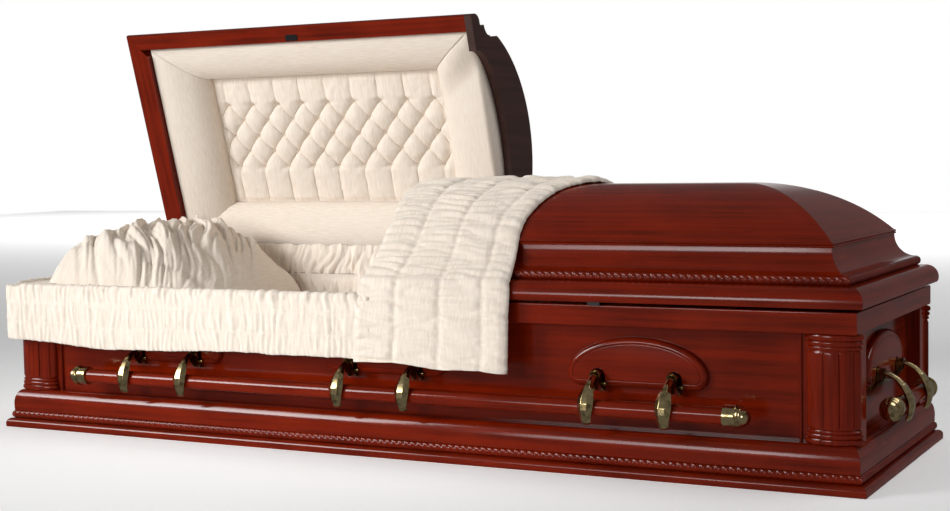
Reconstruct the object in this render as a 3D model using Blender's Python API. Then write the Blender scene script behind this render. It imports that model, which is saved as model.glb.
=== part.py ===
"""Half-couch casket of stained hardwood with two lids and brass swing-bar handles.

Metres, +Z up. X runs along the casket with the head end at -X, -Y is the front and
the hinges are at the back. The origin is on the underside, at its centre. An inset is
a distance in from the edge of the foot of the base moulding, the same on all sides.
"""

import math

import bmesh
import bpy
from mathutils import Matrix, Vector

# Overall plan and clearances
LENGTH = 2.13
WIDTH = 0.68
GAP = 0.0003
MITRE_GAP = 0.00045

# Box: floor, walls and base moulding
BOARD = 0.018
WALL = 0.018
PANEL_INSET = 0.056
PANEL_SHOW = 0.210
LIP_HEIGHT = 0.0205
LIP_SET_BACK = 0.0105
ROPE_HEIGHT = 0.0195
ROPE_BULGE = 0.006
TORUS_HEIGHT = 0.051
TORUS_SET_BACK = 0.0165

# Top rail around the mouth of the box
RAIL_HEIGHT = 0.043
RAIL_INSET = 0.023
RAIL_WIDTH = 0.055
RAIL_EDGE = 0.003

# Corner posts with a reeded half column on the long sides
POST_WIDTH = 0.115
POST_RETURN = 0.052
POST_PROUD = 0.0035
POST_END_INSET = 0.0275
COLUMN_HALF_WIDTH = 0.050
COLUMN_DEPTH = 0.028
COLUMN_EDGE = 0.007
COLUMN_REEDS = 7
REED_DEPTH = 0.003
RING_HEIGHT = 0.012
RING_PROUD = 0.0028

# Lids: one section for both, cut at the middle
LID_LIFT = 0.007
LID_INSET = 0.008
RIM_WIDTH = 0.060
RIM_TORUS = 0.0395
RIM_ROPE = 0.020
RIM_COVE = 0.050
RIM_BEAD = 0.010
TORUS_SHOULDER = 0.0245
COVE_START = 0.0385
COVE_REACH = 0.041
BEAD_OUT = 0.0035
CROWN_RISE = 0.1102
CROWN_SHELL = 0.010
CROWN_STEPS = 9
HEADER = 0.019
SPLIT_GAP = 0.006
ARCH_HALF_WIDTH = 0.243
ARCH_RISE = 0.097
LID_OPEN = math.radians(73.7)

# Hinge leaf and barrel in the seam at the back
BARREL_RADIUS = 0.0028
LEAF = 0.0014
LEAF_WIDTH = 0.035
HINGE_END = 0.060

# Swing-bar handles
PLAQUE_HALF_WIDTH = 0.151
PLAQUE_LIFT = 0.085
PLAQUE_SHOULDER = 0.027
PLAQUE_RISE = 0.076
PLAQUE_THICK = 0.014
PLAQUE_EDGE = 0.009
NOTCH_RADIUS = 0.0165
NOTCH_CLEAR = 0.0025
HANDLE_PITCH_SHARE = 0.277
ARM_PITCH = 0.165
PIVOT_LIFT = 0.024
PIVOT_DROP = 0.060
PIVOT_OUT = 0.030
BAR_OUT = 0.058
BAR_RADIUS = 0.017
BAR_OVERHANG = 0.145
END_BAR_OVERHANG = 0.070
TIP_RADIUS = 0.0225
TIP_LENGTH = 0.054
ARM_WIDTH = 0.033
ARM_THICK = 0.009
TANG_WIDTH = 0.014
EAR_THICK = 0.004
EAR_REACH = 0.040
EAR_ABOVE = 0.0065
STRIP_HEIGHT = 0.011
STRIP_THICK = 0.003

# Small black catches
LATCH_WIDTH = 0.026
LATCH_DEPTH = 0.022
LATCH_OUT = 0.008
LATCH_SHARE = 0.2404
STRIKE_WIDTH = 0.036
STRIKE_DEPTH = 0.016
STRIKE_THICK = 0.001
STRIKE_SHARE = 0.2465

# Soft parts
LINING = 0.008
BED_DROP = 0.094
BED_MARGIN = 0.004
SKIRT_THICK = 0.016
SKIRT_OUT = 0.0035
SKIRT_DROP = 0.122
SKIRT_CORNER = 0.030
FLANGE = 0.0047
THROW_THICK = 0.012
THROW_LIFT = 0.0015
THROW_WIDTH = 0.326
THROW_BACK = 0.160
THROW_DROP = 0.122
ROLL_TOP = 0.087
ROLL_BOTTOM = 0.105
ROLL_END = 0.137
ROLL_FACE = 0.014
ROLL_DEEP = 0.083
ROLL_THICK = 0.026
HEADER_ROLL_FACE = 0.050
PANEL_PAD = 0.020
PILLOW_LENGTH = 0.53
PILLOW_PROUD = 0.141
PILLOW_CORNER = 0.060
PILLOW_OVERHANG = 0.045
APRON_THICK = 0.034
APRON_RISE = 0.054

# Heights and insets that follow from the sizes above
BASE_HEIGHT = LIP_HEIGHT + ROPE_HEIGHT + TORUS_HEIGHT
RAIL_BOTTOM = BASE_HEIGHT + PANEL_SHOW
RAIL_TOP = RAIL_BOTTOM + RAIL_HEIGHT
RAIL_INNER = RAIL_INSET + RAIL_WIDTH
LINING_INNER = RAIL_INNER + GAP + LINING
LID_BOTTOM = RAIL_TOP + LID_LIFT
RIM_TOP = LID_BOTTOM + RIM_TORUS + RIM_ROPE + RIM_COVE + RIM_BEAD
RIM_KNEE = LID_BOTTOM + RIM_TORUS + RIM_ROPE
RIM_INNER = LID_INSET + RIM_WIDTH
CROWN_INSET = LID_INSET + COVE_START + COVE_REACH
HALF_CROWN = WIDTH / 2 - CROWN_INSET
CROWN_RADIUS = (HALF_CROWN**2 + CROWN_RISE**2) / (2 * CROWN_RISE)
CROWN_FOOT = RIM_TOP + GAP
CROWN_CENTRE = CROWN_FOOT + CROWN_RISE - CROWN_RADIUS
HINGE_Y = WIDTH / 2 - LID_INSET - 0.0035
HINGE_Z = RAIL_TOP + LID_LIFT / 2
HEADER_INNER = SPLIT_GAP / 2 + HEADER
PLAQUE_BOTTOM = BASE_HEIGHT + PLAQUE_LIFT
PLAQUE_MIDDLE = PLAQUE_BOTTOM + PLAQUE_SHOULDER
PIVOT_HEIGHT = PLAQUE_BOTTOM + PIVOT_LIFT
EAR_OUTSIDE = TANG_WIDTH / 2 + GAP + EAR_THICK
NOTCH_TOP = PIVOT_HEIGHT + EAR_ABOVE + NOTCH_CLEAR
NOTCH_SPRING = NOTCH_TOP - math.sqrt(NOTCH_RADIUS**2 - EAR_OUTSIDE**2)
HANDLE_PITCH = LENGTH * HANDLE_PITCH_SHARE
BED_TOP = RAIL_TOP - BED_DROP
SKIRT_HEM = RAIL_TOP - SKIRT_DROP
THROW_HEM = RAIL_TOP - THROW_DROP
PILLOW_TOP = RAIL_TOP + PILLOW_PROUD
APRON_TOP = RAIL_TOP + APRON_RISE


def clear_scene():
    for old in list(bpy.data.objects):
        bpy.data.objects.remove(old, do_unlink=True)


def linear(hex_colour):
    """The linear values of an sRGB colour written as six hexadecimal digits."""
    values = [int(hex_colour[i : i + 2], 16) / 255 for i in (0, 2, 4)]
    return [v / 12.92 if v <= 0.04045 else ((v + 0.055) / 1.055) ** 2.4 for v in values]


def make_material(name, hex_colour, roughness, metallic=0.0):
    material = bpy.data.materials.new(name)
    material.use_nodes = True
    shader = material.node_tree.nodes["Principled BSDF"]
    shader.inputs["Base Color"].default_value = (*linear(hex_colour), 1.0)
    shader.inputs["Roughness"].default_value = roughness
    shader.inputs["Metallic"].default_value = metallic
    material.diffuse_color = (*linear(hex_colour), 1.0)
    return material


def finish_mesh(name, bm):
    """A mesh of the bmesh, with doubles merged and its faces pointing out."""
    bmesh.ops.remove_doubles(bm, verts=bm.verts, dist=1e-6)
    bmesh.ops.dissolve_degenerate(bm, dist=1e-6, edges=bm.edges)
    bmesh.ops.recalc_face_normals(bm, faces=bm.faces)
    mesh = bpy.data.meshes.new(name)
    bm.to_mesh(mesh)
    bm.free()
    return mesh


def add_object(name, mesh, material, smooth=False):
    if not mesh.materials:
        mesh.materials.append(material)
    obj = bpy.data.objects.new(name, mesh)
    bpy.context.scene.collection.objects.link(obj)
    if smooth:
        mesh.shade_smooth()
        mesh.set_sharp_from_angle(angle=math.radians(35))
    return obj


def add_box(name, low, high, material):
    return add_object(name, finish_mesh(name, box(low, high)), material)


def add_pivot(name, location, rotation=(0.0, 0.0, 0.0), parent=None):
    pivot = bpy.data.objects.new(name, None)
    pivot.location = location
    pivot.rotation_euler = rotation
    pivot.parent = parent
    bpy.context.scene.collection.objects.link(pivot)
    return pivot


def hang_on(obj, pivot):
    """Parents an object drawn around the world origin to its pivot on the joint's axis."""
    obj.data.transform(Matrix.Translation(-Vector(pivot.location)))
    obj.parent = pivot
    return obj


def arc(centre, radii, start, end, steps):
    """Points along an ellipse's arc from one angle to another, in degrees, ends included."""
    points = []
    for i in range(steps + 1):
        angle = math.radians(start + (end - start) * i / steps)
        across = centre[0] + radii[0] * math.cos(angle)
        up = centre[1] + radii[1] * math.sin(angle)
        points.append((across, up))
    return points


def loft(rings, closed_ends=True):
    """A skin over rings that hold equal numbers of 3-D points, capped at both ends."""
    bm = bmesh.new()
    loops = [[bm.verts.new(p) for p in ring] for ring in rings]
    count = len(loops[0])
    for low, high in zip(loops, loops[1:]):
        for i in range(count):
            j = (i + 1) % count
            bm.faces.new((low[i], low[j], high[j], high[i]))
    if closed_ends:
        bm.faces.new(loops[0])
        bm.faces.new(loops[-1])
    else:
        for i in range(count):
            j = (i + 1) % count
            bm.faces.new((loops[-1][i], loops[-1][j], loops[0][j], loops[0][i]))
    return bm


def box(low, high):
    corners = [(low[0], low[1]), (high[0], low[1]), (high[0], high[1]), (low[0], high[1])]
    return loft([[(x, y, z) for x, y in corners] for z in (low[2], high[2])])


def along_x(outline, start, end):
    """A prism along X over an outline of (y, z) points."""
    return loft([[(x, y, z) for y, z in outline] for x in (start, end)])


def united(name, first, others):
    """One mesh that joins closed bodies with exact Boolean unions."""
    base = add_object(name, finish_mesh(name, first), None)
    cutters = []
    for index, other in enumerate(others):
        cutter = add_object(f"{name}_joined_{index}", finish_mesh(name, other), None)
        union = base.modifiers.new("union", "BOOLEAN")
        union.operation = "UNION"
        union.solver = "EXACT"
        union.object = cutter
        cutters.append(cutter)
    bpy.context.view_layer.update()
    graph = bpy.context.evaluated_depsgraph_get()
    mesh = bpy.data.meshes.new_from_object(base.evaluated_get(graph))
    mesh.materials.clear()
    for used in [base, *cutters]:
        bpy.data.objects.remove(used, do_unlink=True)
    return mesh


def side_point(side, inset, z, end_inset, shift=0.0):
    """A point of a mitred length: on the given side, at the corner towards +X or +Y.

    end_inset is signed: positive for the corner at the far end, negative for the near one.
    """
    half = LENGTH / 2 if side in ("front", "back") else WIDTH / 2
    along = math.copysign(half - abs(end_inset) - shift, end_inset)
    if side == "front":
        return (along, -(WIDTH / 2 - inset), z)
    if side == "back":
        return (along, WIDTH / 2 - inset, z)
    if side == "foot":
        return (LENGTH / 2 - inset, along, z)
    return (-(LENGTH / 2 - inset), along, z)


def mitred_length(profile, side):
    """A length of moulding over one side, mitred at both corners. profile holds (inset, z)."""
    shift = MITRE_GAP if side in ("front", "back") else 0.0
    rings = []
    for sign in (-1, 1):
        ring = [side_point(side, inset, z, sign * max(inset, 1e-9), shift) for inset, z in profile]
        rings.append(ring)
    return loft(rings)


def rope_band(inset, low, height, bulge, steps=4):
    """The rounded outline of a carved rope, bulging out of a flat at the given inset."""
    return arc((inset, low + height / 2), (bulge, height / 2), 270, 90, steps)


def base_profile():
    """Foot lip, rope and torus of the base moulding, then its flat back."""
    lip = arc((LIP_SET_BACK, LIP_HEIGHT / 2), (LIP_SET_BACK, LIP_HEIGHT / 2), 180, 90, 3)
    rope_inset = LIP_SET_BACK + ROPE_BULGE
    rope = rope_band(rope_inset, LIP_HEIGHT, ROPE_HEIGHT, ROPE_BULGE)
    low = LIP_HEIGHT + ROPE_HEIGHT
    rise = TORUS_HEIGHT * 0.72
    bulge = TORUS_SET_BACK - 0.002
    torus = arc((bulge + 0.0175, low + TORUS_HEIGHT - rise), (0.0175, rise), 180, 90, 5)
    torus.insert(0, (bulge + 0.0015, low + 0.002))
    back = [(PANEL_INSET - GAP, BASE_HEIGHT), (PANEL_INSET - GAP, 0.0)]
    return [(0.0, 0.0), *lip, *rope, *torus, *back]


def rail_profile():
    inner = RAIL_INNER
    return [
        (RAIL_INSET + RAIL_EDGE, RAIL_BOTTOM),
        (RAIL_INSET, RAIL_BOTTOM + RAIL_EDGE),
        (RAIL_INSET, RAIL_TOP - RAIL_EDGE / 2),
        (RAIL_INSET + RAIL_EDGE / 2, RAIL_TOP),
        (inner, RAIL_TOP),
        (inner, RAIL_BOTTOM),
    ]


def rim_outside():
    """Outer line of the lid's rim from the seam up: torus, rope, cove and double bead."""
    torus = arc(
        (LID_INSET + TORUS_SHOULDER, LID_BOTTOM + RIM_TORUS * 0.27),
        (TORUS_SHOULDER, RIM_TORUS * 0.73),
        180,
        90,
        5,
    )
    line = [(LID_INSET + 0.0025, LID_BOTTOM), *torus]
    rope_low = LID_BOTTOM + RIM_TORUS
    line += rope_band(LID_INSET + COVE_START, rope_low, RIM_ROPE - 0.002, ROPE_BULGE, 3)
    cove_low = rope_low + RIM_ROPE
    start = LID_INSET + COVE_START
    line += [(start, cove_low)]
    line += arc((start, cove_low + RIM_COVE), (COVE_REACH, RIM_COVE), -90, 0, 5)[1:-1]
    line += [(start + COVE_REACH, cove_low + RIM_COVE)]
    line += [(start + COVE_REACH - BEAD_OUT, cove_low + RIM_COVE + RIM_BEAD * 0.3)]
    line += [(start + COVE_REACH - BEAD_OUT, RIM_TOP - RIM_BEAD * 0.2)]
    return line


def rim_profile():
    """The rim's closed outline: its outer line, the seat of the crown and its inner face."""
    seat_inner = CROWN_INSET + CROWN_SHELL * 1.7
    inner = [(seat_inner, RIM_TOP), (RIM_INNER, RIM_KNEE), (RIM_INNER, LID_BOTTOM)]
    return [*rim_outside(), (CROWN_INSET - 0.001, RIM_TOP), *inner]


def cut_ends(bm, keep_from, keep_to):
    """Cuts a body square at two planes across X and closes the cuts."""
    for x, direction in ((keep_from, -1.0), (keep_to, 1.0)):
        everything = [*bm.verts, *bm.edges, *bm.faces]
        cut = bmesh.ops.bisect_plane(
            bm,
            geom=everything,
            plane_co=(x, 0, 0),
            plane_no=(direction, 0, 0),
            clear_outer=True,
        )
        rim = [e for e in cut["geom_cut"] if isinstance(e, bmesh.types.BMEdge)]
        if rim:
            bmesh.ops.edgeloop_fill(bm, edges=rim)
    return bm


def crown_arc(radius, foot):
    """(inset, z) points from the foot of the crown to its ridge, on a circle."""
    start = math.acos((foot - CROWN_CENTRE) / radius)
    points = []
    for i in range(CROWN_STEPS + 1):
        angle = start * (1 - i / CROWN_STEPS)
        inset = WIDTH / 2 - radius * math.sin(angle)
        points.append((inset, CROWN_CENTRE + radius * math.cos(angle)))
    return points


def crown(sign):
    """A hipped shell of one lid: three curved slopes that meet at mitres, open below.

    sign is -1 for the head lid and 1 for the foot lid; the other end is cut square.
    """
    cut = sign * (HEADER_INNER + GAP)
    bm = bmesh.new()

    def slopes(points):
        rows = []
        for inset, z in points:
            far = sign * (LENGTH / 2 - inset)
            half = WIDTH / 2 - inset
            line = [(cut, -half, z), (far, -half, z), (far, half, z), (cut, half, z)]
            rows.append([bm.verts.new(p) for p in line])
        for low, high in zip(rows, rows[1:]):
            for i in range(3):
                bm.faces.new((low[i], low[i + 1], high[i + 1], high[i]))
        return rows

    outer = slopes(crown_arc(CROWN_RADIUS, CROWN_FOOT))
    inner = slopes(crown_arc(CROWN_RADIUS - CROWN_SHELL, CROWN_FOOT))
    for i in range(3):
        bm.faces.new((outer[0][i], outer[0][i + 1], inner[0][i + 1], inner[0][i]))
    for end in (0, 3):
        for i in range(CROWN_STEPS):
            bm.faces.new((outer[i][end], outer[i + 1][end], inner[i + 1][end], inner[i][end]))
    return bm


def header_outline():
    """The lid's whole section with an arched opening up from the seam, as (y, z)."""
    half = [(-(WIDTH / 2 - inset), z) for inset, z in rim_outside()]
    half += [(-(WIDTH / 2 - inset), z) for inset, z in crown_arc(CROWN_RADIUS, CROWN_FOOT)]
    other = [(-y, z) for y, z in reversed(half[:-1])]
    arch = arc((0.0, LID_BOTTOM), (ARCH_HALF_WIDTH, ARCH_RISE), 0, 180, 14)
    return [*half, *other, *arch]


def half_column_outline(radius_share, flute):
    """Front outline of the reeded half column, from its right edge to its left, as (x, out)."""
    points = []
    steps = COLUMN_REEDS * 2
    for i in range(steps + 1):
        angle = math.pi * i / steps
        sink = flute if i % 2 == 0 and 0 < i < steps else 0.0
        across = (COLUMN_HALF_WIDTH * radius_share - sink) * math.cos(angle)
        out = (COLUMN_DEPTH * radius_share - sink) * math.sin(angle)
        points.append((across, out))
    return points


def corner_post():
    """Post at the front right corner: flat backing, return on the end, reeded half column.

    The column's section changes with height: three rings at the top and at the foot.
    """
    right = LENGTH / 2 - POST_END_INSET
    left = right - POST_WIDTH
    front = -(WIDTH / 2 - PANEL_INSET + POST_PROUD)
    back = -(WIDTH / 2 - PANEL_INSET + GAP)
    turn = LENGTH / 2 - PANEL_INSET + GAP
    deep = -(WIDTH / 2 - PANEL_INSET) + POST_RETURN
    column_x = right - COLUMN_HALF_WIDTH - COLUMN_EDGE
    low = BASE_HEIGHT + GAP
    high = RAIL_BOTTOM - GAP

    def section(z, radius_share, flute):
        reeds = half_column_outline(radius_share, flute)
        wave = [(column_x + across, front - out - 0.0002) for across, out in reeds]
        backing = [(left, front), (left, back), (turn, back)]
        end_return = [(turn, deep), (right, deep), (right, front)]
        return [(x, y, z) for x, y in [*wave, *backing, *end_return]]

    ring_share = 1.0
    neck_share = 1.0 - 2 * RING_PROUD / COLUMN_DEPTH
    body_share = 1.0 - RING_PROUD / COLUMN_DEPTH
    foot = low + 2 * RING_HEIGHT
    cap = high - 3 * RING_HEIGHT
    levels = [(low, ring_share, 0.0), (low + RING_HEIGHT * 0.8, ring_share, 0.0)]
    levels += [(low + RING_HEIGHT, neck_share, 0.0), (foot - RING_HEIGHT * 0.6, body_share, 0.0)]
    levels += [(foot, body_share, REED_DEPTH), (cap, body_share, REED_DEPTH)]
    for ring in range(3):
        start = cap + RING_HEIGHT * ring
        levels += [(start + RING_HEIGHT * 0.15, neck_share, 0.0)]
        levels += [(start + RING_HEIGHT * 0.55, ring_share, 0.0)]
    levels += [(high, ring_share, 0.0)]
    return loft([section(z, share, flute) for z, share, flute in levels])


def plaque():
    """Half-oval board with a rounded edge and two notches, flat back on y = 0."""

    def notch(centre):
        low = PLAQUE_BOTTOM
        top = arc((centre, NOTCH_SPRING), (NOTCH_RADIUS, NOTCH_RADIUS), 180, 0, 4)
        return [(centre - NOTCH_RADIUS, low), *top, (centre + NOTCH_RADIUS, low)]

    def outline(shrink):
        half = PLAQUE_HALF_WIDTH - shrink
        shoulder = PLAQUE_SHOULDER - shrink
        upper = arc((0.0, PLAQUE_MIDDLE), (half, PLAQUE_RISE - shrink), 0, 180, 10)
        corner_left = arc((-half + shoulder, PLAQUE_MIDDLE), (shoulder, shoulder), 180, 270, 3)
        corner_right = arc((half - shoulder, PLAQUE_MIDDLE), (shoulder, shoulder), 270, 360, 3)
        notches = notch(-ARM_PITCH / 2) + notch(ARM_PITCH / 2)
        lifted = [(x, max(z, PLAQUE_BOTTOM + shrink)) for x, z in notches]
        return [*upper, *corner_left[1:], *lifted, *corner_right[:-1]]

    rings = []
    for out, shrink in ((GAP, 0.0), (PLAQUE_THICK * 0.5, 0.0), (PLAQUE_THICK, PLAQUE_EDGE)):
        rings.append([(x, -out, z) for x, z in outline(shrink)])
    return loft(rings)


def bracket_mesh():
    """A strip on the wall under the plaque with two pairs of ears for the arms."""
    half = ARM_PITCH / 2 + TANG_WIDTH
    low = PLAQUE_BOTTOM - GAP - STRIP_HEIGHT
    strip = box((-half, -STRIP_THICK, low), (half, -GAP, PLAQUE_BOTTOM - GAP))
    ear = [
        (-GAP, low + 0.001),
        (-STRIP_THICK * 3, low + 0.001),
        (-EAR_REACH, PIVOT_HEIGHT - 0.008),
        (-EAR_REACH, PIVOT_HEIGHT + EAR_ABOVE * 0.6),
        (-EAR_REACH * 0.8, PIVOT_HEIGHT + EAR_ABOVE),
        (-GAP, PIVOT_HEIGHT + EAR_ABOVE),
    ]
    ears = []
    for arm in (-ARM_PITCH / 2, ARM_PITCH / 2):
        for side in (-1, 1):
            near = arm + side * (TANG_WIDTH / 2 + GAP)
            far = near + side * EAR_THICK
            ears.append(along_x(ear, near, far))
    return united("bracket", strip, ears)


def turned_bar(length):
    """The bar along X with a ringed, domed tip at each end, turned about its own axis."""
    half = length / 2
    start = half - TIP_LENGTH
    neck = TIP_RADIUS - 0.003
    right = [(start, BAR_RADIUS), (start, neck), (start + 0.003, TIP_RADIUS - 0.001)]
    right += [(start + 0.024, TIP_RADIUS - 0.001), (start + 0.027, TIP_RADIUS + 0.0015)]
    right += [(start + 0.031, TIP_RADIUS + 0.0015), (start + 0.034, neck)]
    right += [(half - 0.010, TIP_RADIUS * 0.78), (half - 0.003, TIP_RADIUS * 0.45)]
    line = [(-x, r) for x, r in reversed(right)] + right
    sides = 10
    rings = []
    for x, radius in line:
        ring = []
        for i in range(sides):
            angle = 2 * math.pi * (i + 0.5) / sides
            ring.append((x, radius * math.cos(angle), radius * math.sin(angle)))
        rings.append(ring)
    return loft(rings)


def arm(x):
    """Faceted spindle that hooks from the pivot over the front of the bar and under it.

    Its middle line turns from straight out of the ears to straight down past the bar.
    """
    reach = BAR_OUT - PIVOT_OUT
    front = -reach - BAR_RADIUS * 0.95
    under = -PIVOT_DROP - BAR_RADIUS * 1.25
    stations = [
        (0.004, 0.0, TANG_WIDTH, ARM_THICK * 0.9, 90.0),
        (-0.010, -0.006, TANG_WIDTH, ARM_THICK * 0.9, 68.0),
        (-reach - 0.002, -PIVOT_DROP * 0.42, ARM_WIDTH * 0.82, ARM_THICK, 32.0),
        (front, -PIVOT_DROP * 0.80, ARM_WIDTH, ARM_THICK, 12.0),
        (front, -PIVOT_DROP * 1.10, ARM_WIDTH * 0.85, ARM_THICK, -8.0),
        (front + BAR_RADIUS * 0.5, under, ARM_WIDTH * 0.5, ARM_THICK * 0.7, -42.0),
    ]
    facets = ((-0.5, 0), (-0.2, 0.75), (0.2, 0.75), (0.5, 0), (0.2, -0.75), (-0.2, -0.75))
    rings = []
    for out, up, width, thick, lean in stations:
        angle = math.radians(lean)
        normal = (-math.cos(angle), math.sin(angle))
        ring = []
        for across, through in facets:
            shift = through * thick
            point = (x + across * width, out + normal[0] * shift, up + normal[1] * shift)
            ring.append(point)
        rings.append(ring)
    return loft(rings)


def handle_mesh(name, bar_length, arm_places):
    """Bar, tips and arms of one handle around its pivot axis, as one rigid piece."""
    bar = turned_bar(bar_length)
    centre = Vector((0.0, -(BAR_OUT - PIVOT_OUT), -PIVOT_DROP))
    bmesh.ops.translate(bar, verts=bar.verts, vec=centre)
    return united(name, bar, [arm(x) for x in arm_places])


def rounded_rect(centre, half, radius, z, steps=3):
    """A horizontal outline with rounded corners, as 3-D points."""
    points = []
    for sx, sy, start in ((1, 1, 0), (-1, 1, 90), (-1, -1, 180), (1, -1, 270)):
        corner = (centre[0] + sx * (half[0] - radius), centre[1] + sy * (half[1] - radius))
        for x, y in arc(corner, (radius, radius), start, start + 90, steps):
            points.append((x, y, z))
    return points


def pillow():
    """A plump cushion: rounded outlines that swell over the rim at the head end."""
    inner_end = -(LENGTH / 2 - LINING_INNER) + BED_MARGIN
    foot_side = inner_end + PILLOW_LENGTH
    half_width = WIDTH / 2 - LINING_INNER - BED_MARGIN
    low = BED_TOP + GAP
    sill = RAIL_TOP + LID_LIFT * 0.8
    height = PILLOW_TOP - sill
    levels = [
        (low, 0.0, 0.030),
        (low + 0.02, 0.0, 0.006),
        (sill, 0.0, 0.004),
        (sill + 0.003, 0.4, 0.002),
        (sill + height * 0.22, 0.9, 0.0),
        (sill + height * 0.45, 1.0, 0.0),
        (sill + height * 0.72, 0.6, 0.022),
        (sill + height * 0.92, 0.0, 0.070),
        (PILLOW_TOP, -0.6, 0.130),
    ]
    rings = []
    for z, spread, shrink in levels:
        start = inner_end - PILLOW_OVERHANG * spread + shrink
        end = foot_side - shrink
        middle = ((start + end) / 2, 0.0)
        half = ((end - start) / 2, half_width - shrink)
        rings.append(rounded_rect(middle, half, PILLOW_CORNER, z))
    return loft(rings)


def skirt():
    """Cloth over the front and head rim: a flange on the rail and a drop in front of it."""
    outer = SKIRT_OUT
    inner = SKIRT_OUT + SKIRT_THICK
    top = RAIL_TOP + GAP + FLANGE
    section = [
        (outer, SKIRT_HEM),
        (outer, top - 0.004),
        (outer + 0.004, top),
        (LINING_INNER, top),
        (LINING_INNER, RAIL_TOP + GAP),
        (inner, RAIL_TOP + GAP),
        (inner, SKIRT_HEM),
    ]
    round_inset = SKIRT_CORNER
    stations = [("start", 0.0), *[("corner", 90.0 * i / 4) for i in range(5)], ("end", 0.0)]
    rings = []
    for place, turn in stations:
        ring = []
        for inset, z in section:
            if place == "start":
                ring.append((-SPLIT_GAP / 2, -(WIDTH / 2 - inset), z))
                continue
            if place == "end":
                ring.append((-(LENGTH / 2 - inset), WIDTH / 2 - RAIL_INNER, z))
                continue
            pivot = max(round_inset, inset)
            radius = pivot - inset
            angle = math.radians(270 - turn)
            x = -(LENGTH / 2 - pivot) + radius * math.cos(angle)
            y = -(WIDTH / 2 - pivot) + radius * math.sin(angle)
            ring.append((x, y, z))
        rings.append(ring)
    return loft(rings)


def throw():
    """Cloth laid over the foot lid at the split, from behind the ridge to below the rail."""

    def line(lift):
        radius = CROWN_RADIUS + lift
        start = math.asin(THROW_BACK / radius)
        end = -math.asin(HALF_CROWN / radius)
        points = []
        for i in range(12):
            angle = start + (end - start) * i / 11
            points.append((radius * math.sin(angle), CROWN_CENTRE + radius * math.cos(angle)))
        bead = -(WIDTH / 2 - CROWN_INSET + BEAD_OUT + lift)
        points.append((bead, RIM_TOP))
        drop = -(WIDTH / 2 - LID_INSET + 0.005 + lift)
        points.append((drop, LID_BOTTOM + RIM_TORUS * 0.9))
        points.append((drop, THROW_HEM))
        return points

    inside = line(THROW_LIFT)
    outside = line(THROW_LIFT + THROW_THICK)
    start = SPLIT_GAP / 2 + 0.0015
    return along_x([*inside, *reversed(outside)], start, start + THROW_WIDTH)


def lid_ring(outer, inner, section, header_section):
    """A padded ring between two rectangles (x low, x high, y low, y high).

    A section holds (share across, z); the side next to the header has a section of its own.
    """
    rings = []
    for (across, z), (_, header_z) in zip(section, header_section):
        sides = zip(outer, inner)
        x_low, x_high, y_low, y_high = (edge + (far - edge) * across for edge, far in sides)
        corners = [(x_low, y_low, z), (x_high, y_low, header_z)]
        corners += [(x_high, y_high, header_z), (x_low, y_high, z)]
        rings.append(corners)
    return loft(rings, closed_ends=False)


def lid_cavity():
    """The rectangle inside the head lid's rim and header, as (x low, x high, y low, y high)."""
    half = WIDTH / 2 - RIM_INNER - GAP * 2
    return (-(LENGTH / 2 - RIM_INNER - GAP * 2), -HEADER_INNER - GAP * 2, -half, half)


def tufted_frame(margin):
    """The rectangle inside the rolls, less a margin all round."""
    x_low, x_high, y_low, y_high = lid_cavity()
    across = (x_low + ROLL_END + margin, x_high - ROLL_END - margin)
    return (*across, y_low + ROLL_TOP + margin, y_high - ROLL_BOTTOM - margin)


def lining_rolls():
    """Four padded rolls around the tufted panel, as one mitred ring."""
    outer = lid_cavity()
    inner = tufted_frame(0.0)

    def section(face):
        deep = LID_BOTTOM + ROLL_DEEP
        front = LID_BOTTOM + face
        mid = front + (deep - front) * 0.12
        knee = front + (deep - front) * 0.5
        back = deep + ROLL_THICK
        thin = min(front + (back - front) * 0.40, RIM_KNEE - 0.001)
        return [
            (0.0, front + 0.006),
            (0.25, front),
            (0.6, mid),
            (0.88, knee),
            (1.0, deep),
            (1.0, back),
            (0.6, back - 0.004),
            (0.0, thin),
        ]

    return lid_ring(outer, inner, section(ROLL_FACE), section(HEADER_ROLL_FACE))


def tufted_panel():
    x_low, x_high, y_low, y_high = tufted_frame(GAP * 3)
    face = LID_BOTTOM + ROLL_DEEP + 0.004
    return box((x_low, y_low, face), (x_high, y_high, face + PANEL_PAD))


def hinge_outline():
    """Leaf on the rail and barrel behind it, as (y, z)."""
    leaf_low = RAIL_TOP + GAP
    barrel = arc((HINGE_Y, HINGE_Z), (BARREL_RADIUS, BARREL_RADIUS), 215, -105, 7)
    start = HINGE_Y - LEAF_WIDTH
    leaf = [(start, leaf_low), (start, leaf_low + LEAF)]
    return [*leaf, *barrel, (HINGE_Y - BARREL_RADIUS * 0.35, leaf_low)]


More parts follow.
